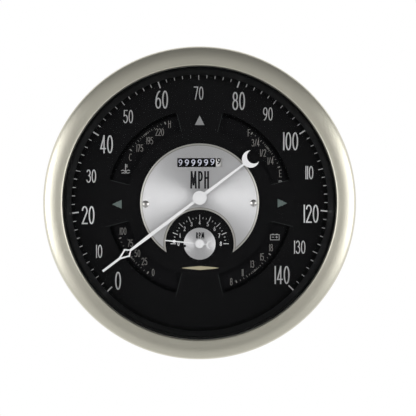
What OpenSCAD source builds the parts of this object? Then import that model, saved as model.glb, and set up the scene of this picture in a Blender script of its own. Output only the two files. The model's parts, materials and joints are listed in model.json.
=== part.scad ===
// Combination gauge: speedometer, rev counter, counter drums and four small
// instruments behind one lens. Millimetres, origin on the gauge's axis at the
// panel's face, +Z up, the dial looks along -Y and the case runs back along +Y.
// The pieces are drawn lying on their backs: x right, y up, z towards the driver.

/* [Bezel and lens] */
// Outside diameter of the bezel
bezel_d = 178; // [174:0.5:190]
// Width of the bezel's face, from its outer edge to the opening
bezel_face_w = 11; // [9:0.25:13]
// How far the bezel reaches past the case barrel
bezel_overhang = 10; // [9:0.25:12]
// Thickness of the bezel's metal
bezel_wall = 1.2; // [0.8:0.1:1.6]
// Radius of the bezel's domed face, seen in section
bezel_face_r = 14; // [12:0.5:24]
// Radius of the bezel's outer shoulder
bezel_shoulder_r = 3; // [2:0.25:4]
// How far the bezel's crest stands in front of the lens
bezel_rise = 3; // [2.5:0.1:6]
// Thickness of the lens
lens_t = 2.4; // [1.5:0.1:4]
// Thickness of the seal behind the lens
lens_seal_t = 1; // [0.5:0.1:2]
// Thickness of the gasket between bezel and panel
panel_gasket_t = 1; // [0.5:0.1:3]

/* [Case] */
// Thickness of the case metal
case_wall = 1.2; // [0.8:0.1:1.6]
// Depth of the case behind the panel's face
case_depth = 51; // [49:0.5:64]
// Radius of the case's rear corner
case_corner_r = 5; // [2:0.5:8]
// Distance of a case stud's axis from the outside of the barrel
stud_inset = 19; // [14:0.5:21]
// Diameter of the free end of a case stud
stud_d = 4.8; // [4:0.1:6]
// Length of a stud that stands free behind its nut
stud_free_l = 14; // [8:0.5:20]
// Distance of a bulb's axis from the outside of the barrel
lamp_inset = 19; // [17:0.5:20]
// Diameter of a lamp holder's body
lamp_holder_d = 14.6; // [13:0.1:16]
// Diameter of a bulb
bulb_d = 10; // [8:0.1:11]

/* [Dials] */
// How far the dial's face lies behind the panel's face
dial_drop = 7; // [6:0.5:9]
// Thickness of the dial plate
dial_t = 1.2; // [0.8:0.1:2]
// Width of the visor ring's slope, seen from the front
visor_w = 4.7; // [3.5:0.1:7]
// Gap behind the dial plate in which the small pointers swing
pointer_gap = 3; // [2.8:0.1:5]
// Thickness of the lower dial
lower_dial_t = 1.2; // [0.8:0.1:2]
// Inner radius of the four windows
window_inner_r = 41.8; // [40:0.1:44]
// Outer radius of the four windows
window_outer_r = 53.4; // [50:0.1:56]
// Half the angle that a window spans
window_half_angle = 30.5; // [26:0.5:33]
// Radius of a window's corners
window_corner_r = 1.2; // [0.6:0.1:3]

/* [Centre plate and rev counter] */
// Diameter of the centre plate
centre_plate_d = 67.9; // [67:0.1:74]
// Thickness of the centre plate
centre_plate_t = 0.8; // [0.5:0.1:1.2]
// Width of the turned-up rim round the centre plate
rim_w = 1.1; // [0.6:0.1:1.1]
// Height of that rim above the plate
rim_h = 0.35; // [0.2:0.05:0.6]
// Distance of the speedometer spindle above the dial's centre
speed_offset = 2.9; // [2:0.1:3.6]
// Distance of the rev counter spindle below the dial's centre
rev_offset = 23.35; // [23:0.05:25]
// Diameter of the round cut in the centre plate
rev_cutout_d = 39; // [36:0.1:40]
// Diameter of the rev counter disc
rev_disc_d = 18.2; // [17.5:0.1:19]
// Thickness of the rev counter disc
rev_disc_t = 0.6; // [0.4:0.1:0.8]
// Distance between the two dial screws
dial_screw_spacing = 61.6; // [60:0.1:62]
// Diameter of a dial screw's head
dial_screw_head_d = 4; // [3.4:0.1:4.4]

/* [Pointers] */
// Least gap between the speed pointer's tip and the visor ring
speed_tip_gap = 1; // [1:0.1:8]
// Distance from the spindle to the centre of its crescent
speed_crescent_s = 36.55; // [34:0.05:38]
// Outer radius of that crescent
speed_crescent_r = 4.95; // [4.5:0.01:5.5]
// Thickness of the speed pointer
speed_pointer_t = 0.6; // [0.4:0.1:0.8]
// Diameter of the speed pointer's cap
speed_cap_d = 7.9; // [6.5:0.1:9]
// How far the rev pointer's tip reaches past the round cut's edge
rev_tip_reach = 0.35; // [-1:0.05:1]
// Diameter of the rev pointer's cap
rev_cap_d = 5; // [4:0.1:5.5]
// Length of a small pointer from spindle to tip
small_pointer_l = 33; // [31:0.1:34]
// Thickness of the rev pointer and the small pointers
small_pointer_t = 0.4; // [0.3:0.05:0.6]
// Diameter of every spindle
spindle_d = 1.5; // [1.2:0.1:1.8]

/* [Movements] */
// Diameter of the speedometer and rev counter movements
large_can_d = 20; // [18:0.1:21]
// Height of those movements
large_can_h = 11; // [9:0.1:12]
// Diameter of the four small movements
small_can_d = 14; // [13:0.1:16]
// Height of the small movements
small_can_h = 10; // [9:0.1:12]
// Gap between the circuit board's edge and a lamp holder
board_gap = 2.7; // [1:0.1:5]
// Thickness of the circuit board
board_t = 1.6; // [1.2:0.1:2]

/* [Counter] */
// Height of the counter above the dial's centre
counter_y = 23; // [22.4:0.1:23]
// Height of the counter's slot in the dial
counter_slot_h = 5.1; // [4:0.1:6]
// Diameter of a counter drum
drum_d = 16.2; // [15.8:0.1:16.6]
// Distance from one drum to the next
drum_pitch = 3.65; // [3.6:0.01:3.7]
// Gap between neighbouring drums
drum_gap = 0.45; // [0.42:0.01:0.5]
// Diameter of the drum shaft
drum_shaft_d = 2; // [1.6:0.1:2.2]
// Diameter of the counter motor
motor_d = 8; // [7:0.1:8.4]
// Length of the counter motor
motor_l = 10; // [8:0.1:14]

/* [Hidden] */
$fn = 64;

// Clearances
cut = 0.01;          // how far a cutter reaches past the face it opens
fit = 0.3;           // between nested turned pieces
run = 0.05;          // radial, spindle, journal or screw in its bore
side_play = 0.1;     // between a drum and its transfer plate

// Depths, from the panel's face towards the driver (+) and into the case (-)
bezel_r = bezel_d / 2;
opening_r = bezel_r - bezel_face_w;
barrel_r = bezel_r - bezel_overhang;
dial_view_r = opening_r - visor_w;
stud_circle_r = barrel_r - stud_inset;
lamp_r = barrel_r - lamp_inset;
board_r = lamp_r - lamp_holder_d / 2 - board_gap;
flange_z = panel_gasket_t + bezel_wall;
seal_z = flange_z + case_wall;
lens_z = seal_z + lens_seal_t;
lens_front_z = lens_z + lens_t;
crest_z = lens_front_z + bezel_rise;
dial_z = -dial_drop;
dial_back_z = dial_z - dial_t;
lower_z = dial_back_z - pointer_gap;
lower_back_z = lower_z - lower_dial_t;
back_z = -case_depth;
back_inner_z = back_z + case_wall;

// Bezel section
lip_to_crest = 3;
lip_round = 1;
crimp_w = 4;
shoulder_turn = asin((bezel_r - bezel_shoulder_r - opening_r - lip_to_crest)
                     / (bezel_face_r - bezel_shoulder_r));
face_c = [opening_r + lip_to_crest, crest_z - bezel_face_r];
shoulder_c = face_c + (bezel_face_r - bezel_shoulder_r) * [sin(shoulder_turn), cos(shoulder_turn)];
lip_turn = asin((lip_to_crest - lip_round) / (bezel_face_r - lip_round));
lip_c = face_c + (bezel_face_r - lip_round) * [-sin(lip_turn), cos(lip_turn)];

// Turned pieces that nest in the case
flange_r = bezel_r - bezel_wall - 0.4;
lens_edge = 0.6;
gasket_room = 1.5;   // so that the panel's hole can be wider than the barrel
barrel_in_r = barrel_r - case_wall;
nest_r = barrel_in_r - fit;
visor_lip_w = 1.2;
visor_foot_w = 1.4;
dial_rim_w = 7;
carrier_wall = 1.6;
floor_t = 1.4;

// Dial screws and the posts they enter
screw_r = 1.25;
left_screw_y = -0.7;
right_screw_y = -0.1;
screw_at = [[-dial_screw_spacing / 2, left_screw_y], [dial_screw_spacing / 2, right_screw_y]];
screw_post_r = 3.2;
screw_grip = 7;
screw_head_h = 0.9;

// Pivots
speed_at = [0, speed_offset];
rev_at = [0, -rev_offset];
small_x = 15.5;
temp_at = [-small_x, 11.5];
fuel_at = [small_x, 11.5];
oil_at = [-small_x, -9.5];
volt_at = [small_x, -9.5];
small_pivots = [temp_at, fuel_at, oil_at, volt_at];
spindle_r = spindle_d / 2;
spindle_hole_r = spindle_r + 0.6;

// Directions in which the pointers rest, counter-clockwise from the right
speed_rest = 217.2;
rev_rest = 174.5;
temp_rest = 188;
fuel_rest = -8;
oil_rest = 284;
volt_rest = -104;

// Outline of the speed pointer: distances from its spindle and half widths
speed_pointer_l = dial_view_r - speed_offset - speed_tip_gap;
arm_hub_w = 0.7;
arm_mid_s = 36;
arm_mid_w = 1;
arm_end_w = 0.65;
tail_hub_w = 0.95;
tail_end_w = 0.58;
diamond_near_s = 49;
diamond_wide_s = 52.1;
diamond_far_s = 57.3;
diamond_w = 2.85;
diamond_stroke = 0.85;
diamond_curve = 0.6;
crescent_bite_s = speed_crescent_s + 2.35;
crescent_bite_r = 4;
hub_boss_r = 2;
cap_rim = 0.6;
cap_dome_r = 14;

// Outline of the rev pointer
rev_pointer_l = rev_cutout_d / 2 + rev_tip_reach;
rev_arm_w = 0.33;
rev_tail_l = 4.2;
rev_tail_w = 0.4;
rev_diamond_s = 14.6;
rev_diamond_l = 1.6;
rev_diamond_w = 0.95;
rev_crescent_s = 6.2;
rev_crescent_r = 2.36;
rev_bite_s = 7.1;
rev_bite_r = 2.26;
rev_boss_r = 1.4;
rev_cap_dome_r = 8;

// Outline of a small pointer
small_tail_l = 5;
small_tail_w = 0.9;
small_arm_w = 0.6;
small_tip_w = 0.3;
small_hub_r = 2.2;

// Pointer planes
rev_disc_z = dial_z + rev_disc_t;
plate_z = dial_z + centre_plate_t;
rim_z = plate_z + rim_h;
rev_pointer_z = rev_disc_z + 0.8;
rev_cap_h = 1.3;
rev_cap_top_z = rev_pointer_z + small_pointer_t + rev_cap_h;
speed_pointer_z = max(rev_cap_top_z, rim_z, plate_z + screw_head_h) + 0.7;
speed_cap_h = 1.8;
small_pointer_z = lower_z + pointer_gap / 2;
hub_drop = 0.9;

// Stop pin, just below the rev pointer's lowest place
stop_pin_r = 0.8;
stop_pin_at = rev_at - [rev_disc_d / 2 - 0.55, stop_pin_r + 0.45];
stop_pin_top_z = rev_pointer_z + small_pointer_t + 0.3;

// Indicator lenses: [point, direction of the apex, half base, height]
indicators = [
  [[-44.6, -0.8], 180, 2.45, 5.4],
  [[44.6, -0.2], 0, 2.45, 5.4],
  [[0, 44.5], 90, 2.7, 5.4]
];
lamp_dome_r = 1.5;
lamp_h = pointer_gap - 0.6;

// Counter
drum_count = 7;
drum_r = drum_d / 2;
drum_w = drum_pitch - drum_gap;
drum_z = dial_back_z - 0.3 - drum_r;
shaft_r = drum_shaft_d / 2;
counter_w = drum_count * drum_pitch;
pocket_depth = 1;
cup_depth = 1.3;
hub_r = shaft_r + 1;
rim_depth = 1.4;
ring_teeth = 20;
transfer_teeth = 6;
transfer_m = (drum_d - 2 * rim_depth) / ring_teeth;
transfer_s = transfer_m * (ring_teeth - transfer_teeth) / 2;
transfer_tip_r = transfer_m * (transfer_teeth / 2 + 0.7);
transfer_root_r = transfer_m * (transfer_teeth / 2 - 1);
ring_tip_r = transfer_m * (ring_teeth / 2 - 0.7);
ring_root_r = transfer_m * (ring_teeth / 2 + 0.9);
driver_tip_r = hub_r + 0.55;
locked_tip_r = transfer_s - driver_tip_r - 0.12;
journal_r = 0.8;
plate_t = 0.25;
plate_w = 4.4;
plate_head_r = 2.6;
plate_seat_depth = 0.6;
gear_m = 0.45;
gear_teeth = 30;
motor_teeth = 10;
gear_w = 1;
motor_s = gear_m * (gear_teeth + motor_teeth) / 2 + 0.1;
motor_turn = 55;
motor_y = counter_y + motor_s * sin(motor_turn);
motor_z = drum_z - motor_s * cos(motor_turn);
motor_boss_r = 1.9;
motor_shaft_r = 0.5;
cheek_t = 1;
cheek_r = 3.5;
motor_cheek_r = 4.4;
left_cheek_x = -counter_w / 2 - cheek_t - 0.25;
gear_x = counter_w / 2 - drum_gap / 2;
right_cheek_x = gear_x + gear_w + 0.45;
frame_t = 1.1;
frame_half_h = 6.5;
shaft_head_r = shaft_r + 0.7;
shaft_head_t = 0.6;

// Floor of the light box, just behind the counter's frame
floor_z = drum_z - drum_r - 1.2 - frame_t;
floor_back_z = floor_z - floor_t;
board_z = floor_back_z - small_can_h;
board_back_z = board_z - board_t;

// Movements
can_wall = 1.2;
coil_w = 1.8;
magnet_t = 3;
pin_r = 0.35;
pin_past_board = 0.8;
pivot_depth = 0.6;
large_front_z = floor_z + large_can_h;

// Behind the panel
stud_r = stud_d / 2;
stud_angles = [90, 210, 330];
stud_grip = 8;
stud_root_r = stud_r + 0.3;
stud_post_r = stud_root_r + 1.8;
nut_across_flats = 8;
nut_flange_r = 5.6;
nut_flange_t = 0.8;
nut_h = 4;
lamp_angles = [30, 150];
lamp_flange_t = 1.2;
lamp_flange_w = 1.6;
grip_size = [11, 3, 6];
tab_size = [2.8, 0.8, 6.5];
tab_pitch = 7;
holder_front_z = floor_back_z - 6;
socket_depth = 6;
bulb_tip_z = lower_back_z - 4;
block_at = [0, 27];
block_size = [46, 18];
block_past_back = 3;
blade_size = [6.3, 0.8];
blade_out = 8;
blade_seat = 4;
blade_nose = 1;
blade_columns = 6;
blade_pitch = [7.2, 8];
chips = [[-24, -27, 12, 9], [0, -39, 16, 7], [24, -25, 9, 14], [-32, 2, 10, 7], [32, 0, 9, 6]];
chip_h = 2;

// Points along an arc about c, from angle a0 to a1
function arc(c, r, a0, a1, n = 10) =
  [for (i = [0:n]) let (a = a0 + (a1 - a0) * i / n) c + r * [cos(a), sin(a)]];

// Outline of n teeth between two radii; low and high are a tooth's share of the pitch there
function toothed(n, r_low, r_high, low, high, turn = 0) =
  [for (i = [0:n - 1])
    for (p = [[-low / 2, r_low], [-high / 2, r_high], [high / 2, r_high], [low / 2, r_low]])
      let (a = turn + (i + p[0]) * 360 / n) p[1] * [cos(a), sin(a)]];

function drum_x(k) = (k - (drum_count + 1) / 2) * drum_pitch;
function around(r, angles) = [for (a = angles) r * [cos(a), sin(a)]];

// Turns a piece from lying on its back to facing the driver
module facing() rotate([90, 0, 0]) children();

module at(p, z) translate([p[0], p[1], z]) children();

module tube(outer_r, inner_r, z, h)
  translate([0, 0, z]) difference() {
    cylinder(r = outer_r, h = h);
    translate([0, 0, -cut]) cylinder(r = inner_r, h = h + 2 * cut);
  }

// A round hole through everything between two depths
module bore(p, r, z, h) at(p, z - cut) cylinder(r = r, h = h + 2 * cut);

// Puts children on the counter's shaft: local z runs to the right, local x into the case
module on_shaft(x) translate([x, counter_y, drum_z]) rotate([0, 90, 0]) children();

// Extrudes an outline drawn in (y, z) to the right
module across(x, w) translate([x, 0, 0]) rotate([90, 0, 90]) linear_extrude(w) children();

module bezel()
  color("silver") facing() rotate_extrude() polygon(concat(
    [[bezel_r, panel_gasket_t]],
    arc(shoulder_c, bezel_shoulder_r, 0, 90 - shoulder_turn),
    arc(face_c, bezel_face_r, 90 - shoulder_turn, 90 + lip_turn, 14),
    arc(lip_c, lip_round, 90 + lip_turn, 180, 6),
    [[opening_r, lens_front_z], [opening_r + bezel_wall, lens_front_z]],
    arc(face_c, bezel_face_r - bezel_wall, 90 + asin((lip_to_crest - bezel_wall)
        / (bezel_face_r - bezel_wall)), 90 - shoulder_turn, 14),
    arc(shoulder_c, bezel_shoulder_r - bezel_wall, 90 - shoulder_turn, 0),
    [[bezel_r - bezel_wall, flange_z], [bezel_r - crimp_w, flange_z], [bezel_r - crimp_w, panel_gasket_t]]
  ));

module panel_gasket()
  color("black") facing() tube(bezel_r - 1, barrel_r + gasket_room, 0, panel_gasket_t);

module lens()
  color("white", 0.3) facing() translate([0, 0, lens_z]) difference() {
    cylinder(r = flange_r, h = lens_t);
    // ground edges
    for (side = [0, 1]) translate([0, 0, side * lens_t]) mirror([0, 0, side])
      rotate_extrude() polygon([[flange_r - lens_edge - cut, -cut], [flange_r + 1, -cut],
                                [flange_r + 1, lens_edge + 1], [flange_r, lens_edge]]);
  }

module lens_seal()
  color("dimgray") facing() tube(flange_r - 0.2, barrel_r + 0.4, seal_z, lens_seal_t);

module case_shell()
  color("lightgray") facing() difference() {
    rotate_extrude() polygon(concat(
      [[barrel_in_r, seal_z], [flange_r, seal_z], [flange_r, flange_z], [barrel_r, flange_z]],
      arc([barrel_r - case_corner_r, back_z + case_corner_r], case_corner_r, 0, -90),
      [[0, back_z], [0, back_inner_z]],
      arc([barrel_r - case_corner_r, back_z + case_corner_r], case_corner_r - case_wall, -90, 0)
    ));
    for (p = around(stud_circle_r, stud_angles)) bore(p, stud_root_r + 0.2, back_z, case_wall);
    for (p = around(lamp_r, lamp_angles)) bore(p, lamp_holder_d / 2 + 0.2, back_z, case_wall);
    at(block_at, back_z + case_wall / 2)
      cube([block_size[0] + fit, block_size[1] + fit, case_wall + 1], center = true);
  }

module visor_ring()
  color("black") facing() rotate_extrude() polygon([
    [dial_view_r, dial_z], [nest_r, dial_z], [nest_r, dial_z + visor_lip_w],
    [dial_view_r + visor_foot_w, dial_z + visor_lip_w], [nest_r, lens_z - visor_lip_w],
    [nest_r, lens_z], [nest_r - visor_lip_w, lens_z]
  ]);

// A window: part of a ring with rounded corners
module window() {
  c = window_corner_r;
  in_turn = asin(c / (window_inner_r + c));
  out_turn = asin(c / (window_outer_r - c));
  module sector(ri, ro, half) intersection() {
    difference() {
      circle(r = ro);
      circle(r = ri);
    }
    polygon([[0, 0], 80 * [cos(half), -sin(half)], [80, 0], 80 * [cos(half), sin(half)]]);
  }
  sector(window_inner_r + c, window_outer_r - c, window_half_angle);
  sector(window_inner_r, window_outer_r, window_half_angle - in_turn);
  for (s = [-1, 1]) {
    rotate(s * (window_half_angle - in_turn)) translate([window_inner_r + c, 0]) circle(r = c);
    rotate(s * (window_half_angle - out_turn)) translate([window_outer_r - c, 0]) circle(r = c);
  }
}

module triangle(spec, grow = 0)
  translate(spec[0]) rotate(spec[1])
    polygon([[-grow, -spec[2] - 1.6 * grow], [spec[3] + 2.4 * grow, 0], [-grow, spec[2] + 1.6 * grow]]);

module dial_plate()
  color("#141414") facing() difference() {
    translate([0, 0, dial_back_z]) cylinder(r = nest_r, h = dial_t);
    for (a = [45:90:315])
      rotate(a) translate([0, 0, dial_back_z - cut]) linear_extrude(dial_t + 2 * cut) window();
    for (s = indicators)
      translate([0, 0, dial_back_z - cut]) linear_extrude(dial_t + 2 * cut) triangle(s, 0.1);
    at([0, counter_y], dial_back_z + dial_t / 2)
      cube([counter_w, counter_slot_h, dial_t + 1], center = true);
    for (p = [speed_at, rev_at]) bore(p, spindle_hole_r, dial_back_z, dial_t);
    for (p = screw_at) bore(p, screw_r + run, dial_back_z, dial_t);
    bore(stop_pin_at, stop_pin_r + cut, dial_back_z, dial_t);
  }

module lower_dial()
  color("#101010") facing() {
    difference() {
      union() {
        translate([0, 0, lower_back_z]) cylinder(r = nest_r, h = lower_dial_t);
        tube(nest_r, nest_r - dial_rim_w, lower_z - cut, pointer_gap + cut);
        for (p = screw_at) at(p, lower_z - cut) cylinder(r = screw_post_r, h = pointer_gap + cut);
      }
      // room for the fronts of the drums and the frame's cheeks
      translate([left_cheek_x - fit, counter_y - drum_r - fit, lower_back_z - cut])
        cube([right_cheek_x + cheek_t - left_cheek_x + 2 * fit, drum_d + 2 * fit, lower_dial_t + 2 * cut]);
      for (p = concat([speed_at, rev_at], small_pivots)) bore(p, spindle_hole_r, lower_back_z, lower_dial_t);
      for (p = screw_at) bore(p, screw_r + run, lower_back_z, lower_dial_t + pointer_gap);
      for (s = indicators) bore(lamp_place(s), lamp_dome_r - 0.5, lower_back_z, lower_dial_t);
    }
  }

function lamp_place(s) = s[0] + 0.4 * s[3] * [cos(s[1]), sin(s[1])];

module centre_plate()
  color("gainsboro") facing() difference() {
    translate([0, 0, dial_z]) cylinder(r = centre_plate_d / 2, h = centre_plate_t + rim_h);
    // dished face inside the turned-up rim, which also follows the round cut
    difference() {
      translate([0, 0, plate_z]) rotate_extrude() polygon([
        [0, 0], [centre_plate_d / 2 - rim_w, 0], [centre_plate_d / 2 - rim_w + rim_h, rim_h + cut],
        [0, rim_h + cut]]);
      at(rev_at, plate_z - 1) cylinder(r = rev_cutout_d / 2 + rim_w, h = rim_h + 3);
    }
    bore(rev_at, rev_cutout_d / 2, dial_z, centre_plate_t + rim_h);
    at([0, counter_y], dial_z) cube([counter_w, counter_slot_h, 4], center = true);
    bore(speed_at, spindle_hole_r, dial_z, centre_plate_t);
    for (p = screw_at) bore(p, screw_r + run, dial_z, centre_plate_t);
  }

module dial_screws()
  color("silver") facing() for (p = screw_at) {
    at(p, plate_z) difference() {
      intersection() {
        cylinder(d = dial_screw_head_d, h = screw_head_h);
        translate([0, 0, screw_head_h - dial_screw_head_d * 0.75]) sphere(r = dial_screw_head_d * 0.75);
      }
      translate([0, 0, screw_head_h]) cube([0.6, dial_screw_head_d + 1, 0.7], center = true);
    }
    at(p, lower_back_z - screw_grip) cylinder(r = screw_r, h = plate_z - lower_back_z + screw_grip + cut);
  }

module rev_disc()
  color("gainsboro") facing() difference() {
    at(rev_at, dial_z) cylinder(d = rev_disc_d, h = rev_disc_t);
    bore(rev_at, spindle_hole_r, dial_z, rev_disc_t);
    bore(stop_pin_at, stop_pin_r + cut, dial_z, rev_disc_t);
  }

module rev_stop_pin()
  color("black") facing() at(stop_pin_at, dial_back_z)
    cylinder(r = stop_pin_r, h = stop_pin_top_z - dial_back_z);

module indicator_lenses()
  color("#5f6f68") facing() for (s = indicators)
    translate([0, 0, dial_back_z]) linear_extrude(dial_t) triangle(s);

module indicator_lamps()
  color("ivory") facing() for (s = indicators) {
    at(lamp_place(s), lower_z) cylinder(r = lamp_dome_r, h = lamp_h - lamp_dome_r);
    at(lamp_place(s), lower_z + lamp_h - lamp_dome_r) intersection() {
      sphere(r = lamp_dome_r);
      translate([0, 0, -cut]) cylinder(r = lamp_dome_r + 1, h = lamp_dome_r + 1);
    }
    at(lamp_place(s), lower_back_z - 1) cylinder(r = 0.8, h = lower_dial_t + 1 + cut);
  }

// Closed outline from one side's points, [distance, half width], and their mirror image
module mirrored_outline(side) polygon(concat(
  side, [for (i = [len(side) - 1:-1:0]) if (side[i][1] > 0) [side[i][0], -side[i][1]]]));

// Half-moon counterweight that opens away from the spindle
module crescent(s, r, bite_s, bite_r) difference() {
  translate([s, 0]) circle(r = r);
  translate([bite_s, 0]) circle(r = bite_r);
}

// Hub, with the boss that grips the spindle
module pointer_hub(r, boss_r, z, t) difference() {
  union() {
    translate([0, 0, z]) cylinder(r = r, h = t);
    translate([0, 0, z - hub_drop * 0.6]) cylinder(r = boss_r, h = hub_drop * 0.6 + cut);
  }
  translate([0, 0, z - hub_drop]) cylinder(r = spindle_r + cut, h = t + hub_drop + 1);
}

module speed_pointer()
  color("white") facing() at(speed_at, 0) rotate(speed_rest) {
    translate([0, 0, speed_pointer_z]) linear_extrude(speed_pointer_t) difference() {
      union() {
        // arm, widest in the middle
        mirrored_outline([[0, arm_hub_w], [arm_mid_s, arm_mid_w], [diamond_near_s + diamond_curve, arm_end_w]]);
        // diamond and the blade beyond it
        mirrored_outline([[diamond_near_s, 0], [diamond_wide_s - diamond_curve, 0.8 * diamond_w],
          [diamond_wide_s, diamond_w], [diamond_wide_s + 1.5 * diamond_curve, 0.77 * diamond_w],
          [diamond_far_s, arm_end_w], [speed_pointer_l, arm_end_w]]);
        rotate(180) mirrored_outline([[0, tail_hub_w],
          [speed_crescent_s - speed_crescent_r + diamond_curve, tail_end_w]]);
        rotate(180) crescent(speed_crescent_s, speed_crescent_r, crescent_bite_s, crescent_bite_r);
      }
      // the diamond's open middle
      mirrored_outline([[diamond_near_s + diamond_stroke, 0], [diamond_wide_s, diamond_w - 1.35 * diamond_stroke],
                        [diamond_far_s - 1.2 * diamond_stroke, 0]]);
      circle(r = spindle_r + cut);
    }
    pointer_hub(speed_cap_d / 2 - cap_rim, hub_boss_r, speed_pointer_z, speed_pointer_t);
  }

// Domed cap on a hub
module cap(p, d, h, dome_r, z)
  color("white") facing() at(p, z) intersection() {
    cylinder(d = d, h = h);
    translate([0, 0, h - dome_r]) sphere(r = dome_r);
  }

module speed_cap()
  cap(speed_at, speed_cap_d, speed_cap_h, cap_dome_r, speed_pointer_z + speed_pointer_t);

module rev_pointer()
  color("white") facing() at(rev_at, 0) rotate(rev_rest) {
    translate([0, 0, rev_pointer_z]) linear_extrude(small_pointer_t) difference() {
      union() {
        mirrored_outline([[0, rev_arm_w], [rev_pointer_l, rev_arm_w]]);
        mirrored_outline([[rev_diamond_s - rev_diamond_l, 0], [rev_diamond_s, rev_diamond_w],
                          [rev_diamond_s + rev_diamond_l, 0]]);
        rotate(180) mirrored_outline([[0, rev_tail_w], [rev_tail_l, rev_tail_w]]);
        rotate(180) crescent(rev_crescent_s, rev_crescent_r, rev_bite_s, rev_bite_r);
      }
      circle(r = spindle_r + cut);
    }
    pointer_hub(rev_cap_d / 2 - cap_rim, rev_boss_r, rev_pointer_z, small_pointer_t);
  }

module rev_cap()
  cap(rev_at, rev_cap_d, rev_cap_h, rev_cap_dome_r, rev_pointer_z + small_pointer_t);

module small_pointer(p, rest)
  color("white") facing() at(p, 0) rotate(rest) {
    translate([0, 0, small_pointer_z]) linear_extrude(small_pointer_t) difference() {
      mirrored_outline([[-small_tail_l, small_tail_w], [0, small_arm_w], [small_pointer_l, small_tip_w]]);
      circle(r = spindle_r + cut);
    }
    pointer_hub(small_hub_r, rev_boss_r, small_pointer_z, small_pointer_t);
  }

// Shielding can with its coils moulded in, bearings front and back, and four pins
module movement(p, can_d, can_h, front_z)
  color("silver") facing() difference() {
    union() {
      at(p, front_z - can_h) cylinder(d = can_d, h = can_h);
      for (q = around(can_d / 2 - 2, [45:90:315]))
        at(p + q, board_back_z - pin_past_board)
          cylinder(r = pin_r, h = front_z - can_h - board_back_z + pin_past_board + cut);
    }
    at(p, front_z - can_h + can_wall) cylinder(r = can_d / 2 - can_wall - coil_w, h = can_h - 2 * can_wall);
    at(p, front_z - can_h + can_wall - pivot_depth)
      cylinder(r = spindle_r + run, h = can_h + pivot_depth);
  }

// Magnet on its spindle, from the rear pivot to the pointer's top face
module rotor(p, can_d, can_h, front_z, top_z)
  color("#33333a") facing() {
    at(p, front_z - can_h + can_wall - pivot_depth + 0.1)
      cylinder(r = spindle_r, h = top_z - front_z + can_h - can_wall + pivot_depth - 0.1);
    at(p, front_z - can_h / 2 - magnet_t / 2)
      cylinder(r = can_d / 2 - can_wall - coil_w - 0.6, h = magnet_t);
  }

module counter_frame() {
  base_z = floor_z;
  color("silver") facing() difference() {
    union() {
      translate([left_cheek_x, counter_y - frame_half_h, base_z])
        cube([right_cheek_x + cheek_t - left_cheek_x, 2 * frame_half_h, frame_t]);
      for (x = [left_cheek_x, right_cheek_x]) across(x, cheek_t) {
        translate([counter_y, drum_z]) circle(r = cheek_r);
        translate([counter_y - cheek_r, base_z]) square([2 * cheek_r, drum_z - base_z]);
      }
      // ear that carries the motor
      across(right_cheek_x, cheek_t) {
        translate([motor_y, motor_z]) circle(r = motor_cheek_r);
        translate([counter_y, base_z]) square([motor_y - counter_y, motor_z - base_z]);
      }
    }
    on_shaft(left_cheek_x - 1) cylinder(r = shaft_r + run, h = counter_w + 8);
    translate([right_cheek_x - 1, motor_y, motor_z]) rotate([0, 90, 0])
      cylinder(r = motor_boss_r + run, h = cheek_t + 2);
    // seats of the transfer plates
    for (k = [1:drum_count - 1])
      translate([drum_x(k) + drum_pitch / 2, counter_y, base_z + frame_t])
        cube([plate_t + side_play, plate_w + side_play, 2 * plate_seat_depth], center = true);
  }
}

module drum_shaft()
  color("gainsboro") facing() {
    on_shaft(left_cheek_x - shaft_head_t) cylinder(r = shaft_head_r, h = shaft_head_t);
    on_shaft(left_cheek_x - cut)
      cylinder(r = shaft_r, h = right_cheek_x + cheek_t - left_cheek_x + 2 * cut);
    on_shaft(right_cheek_x + cheek_t) cylinder(r = shaft_head_r, h = shaft_head_t);
  }

// Drum with a ring of inside teeth on the right and two driving teeth on the left
module drum(k)
  color(k == drum_count ? "white" : "black") facing() on_shaft(drum_x(k) - drum_w / 2) difference() {
    union() {
      difference() {
        cylinder(r = drum_r, h = drum_w);
        translate([0, 0, -cut]) cylinder(r = ring_root_r, h = pocket_depth + cut);
        if (k < drum_count) translate([0, 0, drum_w - cup_depth])
          linear_extrude(cup_depth + cut) polygon(toothed(ring_teeth, ring_tip_r, ring_root_r, 0.68, 0.46));
      }
      cylinder(r = hub_r, h = drum_w);
      if (k > 1) linear_extrude(pocket_depth) intersection() {
        polygon(toothed(9, hub_r - 0.4, driver_tip_r, 0.5, 0.34));
        // only two of the nine teeth are cut
        polygon([[0, 0], 9 * [cos(70), sin(70)], 9 * [cos(130), sin(130)]]);
      }
      if (k == drum_count) translate([0, 0, drum_w - cut]) {
        linear_extrude(gear_w + cut) polygon(toothed(gear_teeth, gear_m * (gear_teeth / 2 - 1.2),
          gear_m * (gear_teeth / 2 + 0.9), 0.5, 0.24, motor_turn + 180 / gear_teeth));
      }
    }
    translate([0, 0, -1]) cylinder(r = shaft_r + run, h = drum_w + gear_w + 2);
  }

// Thin hangers between the drums: each stands in the frame and holds one pinion
module transfer_plates()
  color("gray") facing() for (k = [1:drum_count - 1])
    on_shaft(drum_x(k) + (drum_pitch - plate_t) / 2) linear_extrude(plate_t) difference() {
      union() {
        circle(r = plate_head_r);
        translate([0, -plate_w / 2]) square([drum_z - floor_z - frame_t + plate_seat_depth - 0.1, plate_w]);
      }
      circle(r = shaft_r + run);
      translate([transfer_s, 0]) circle(r = journal_r + run);
    }

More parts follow.
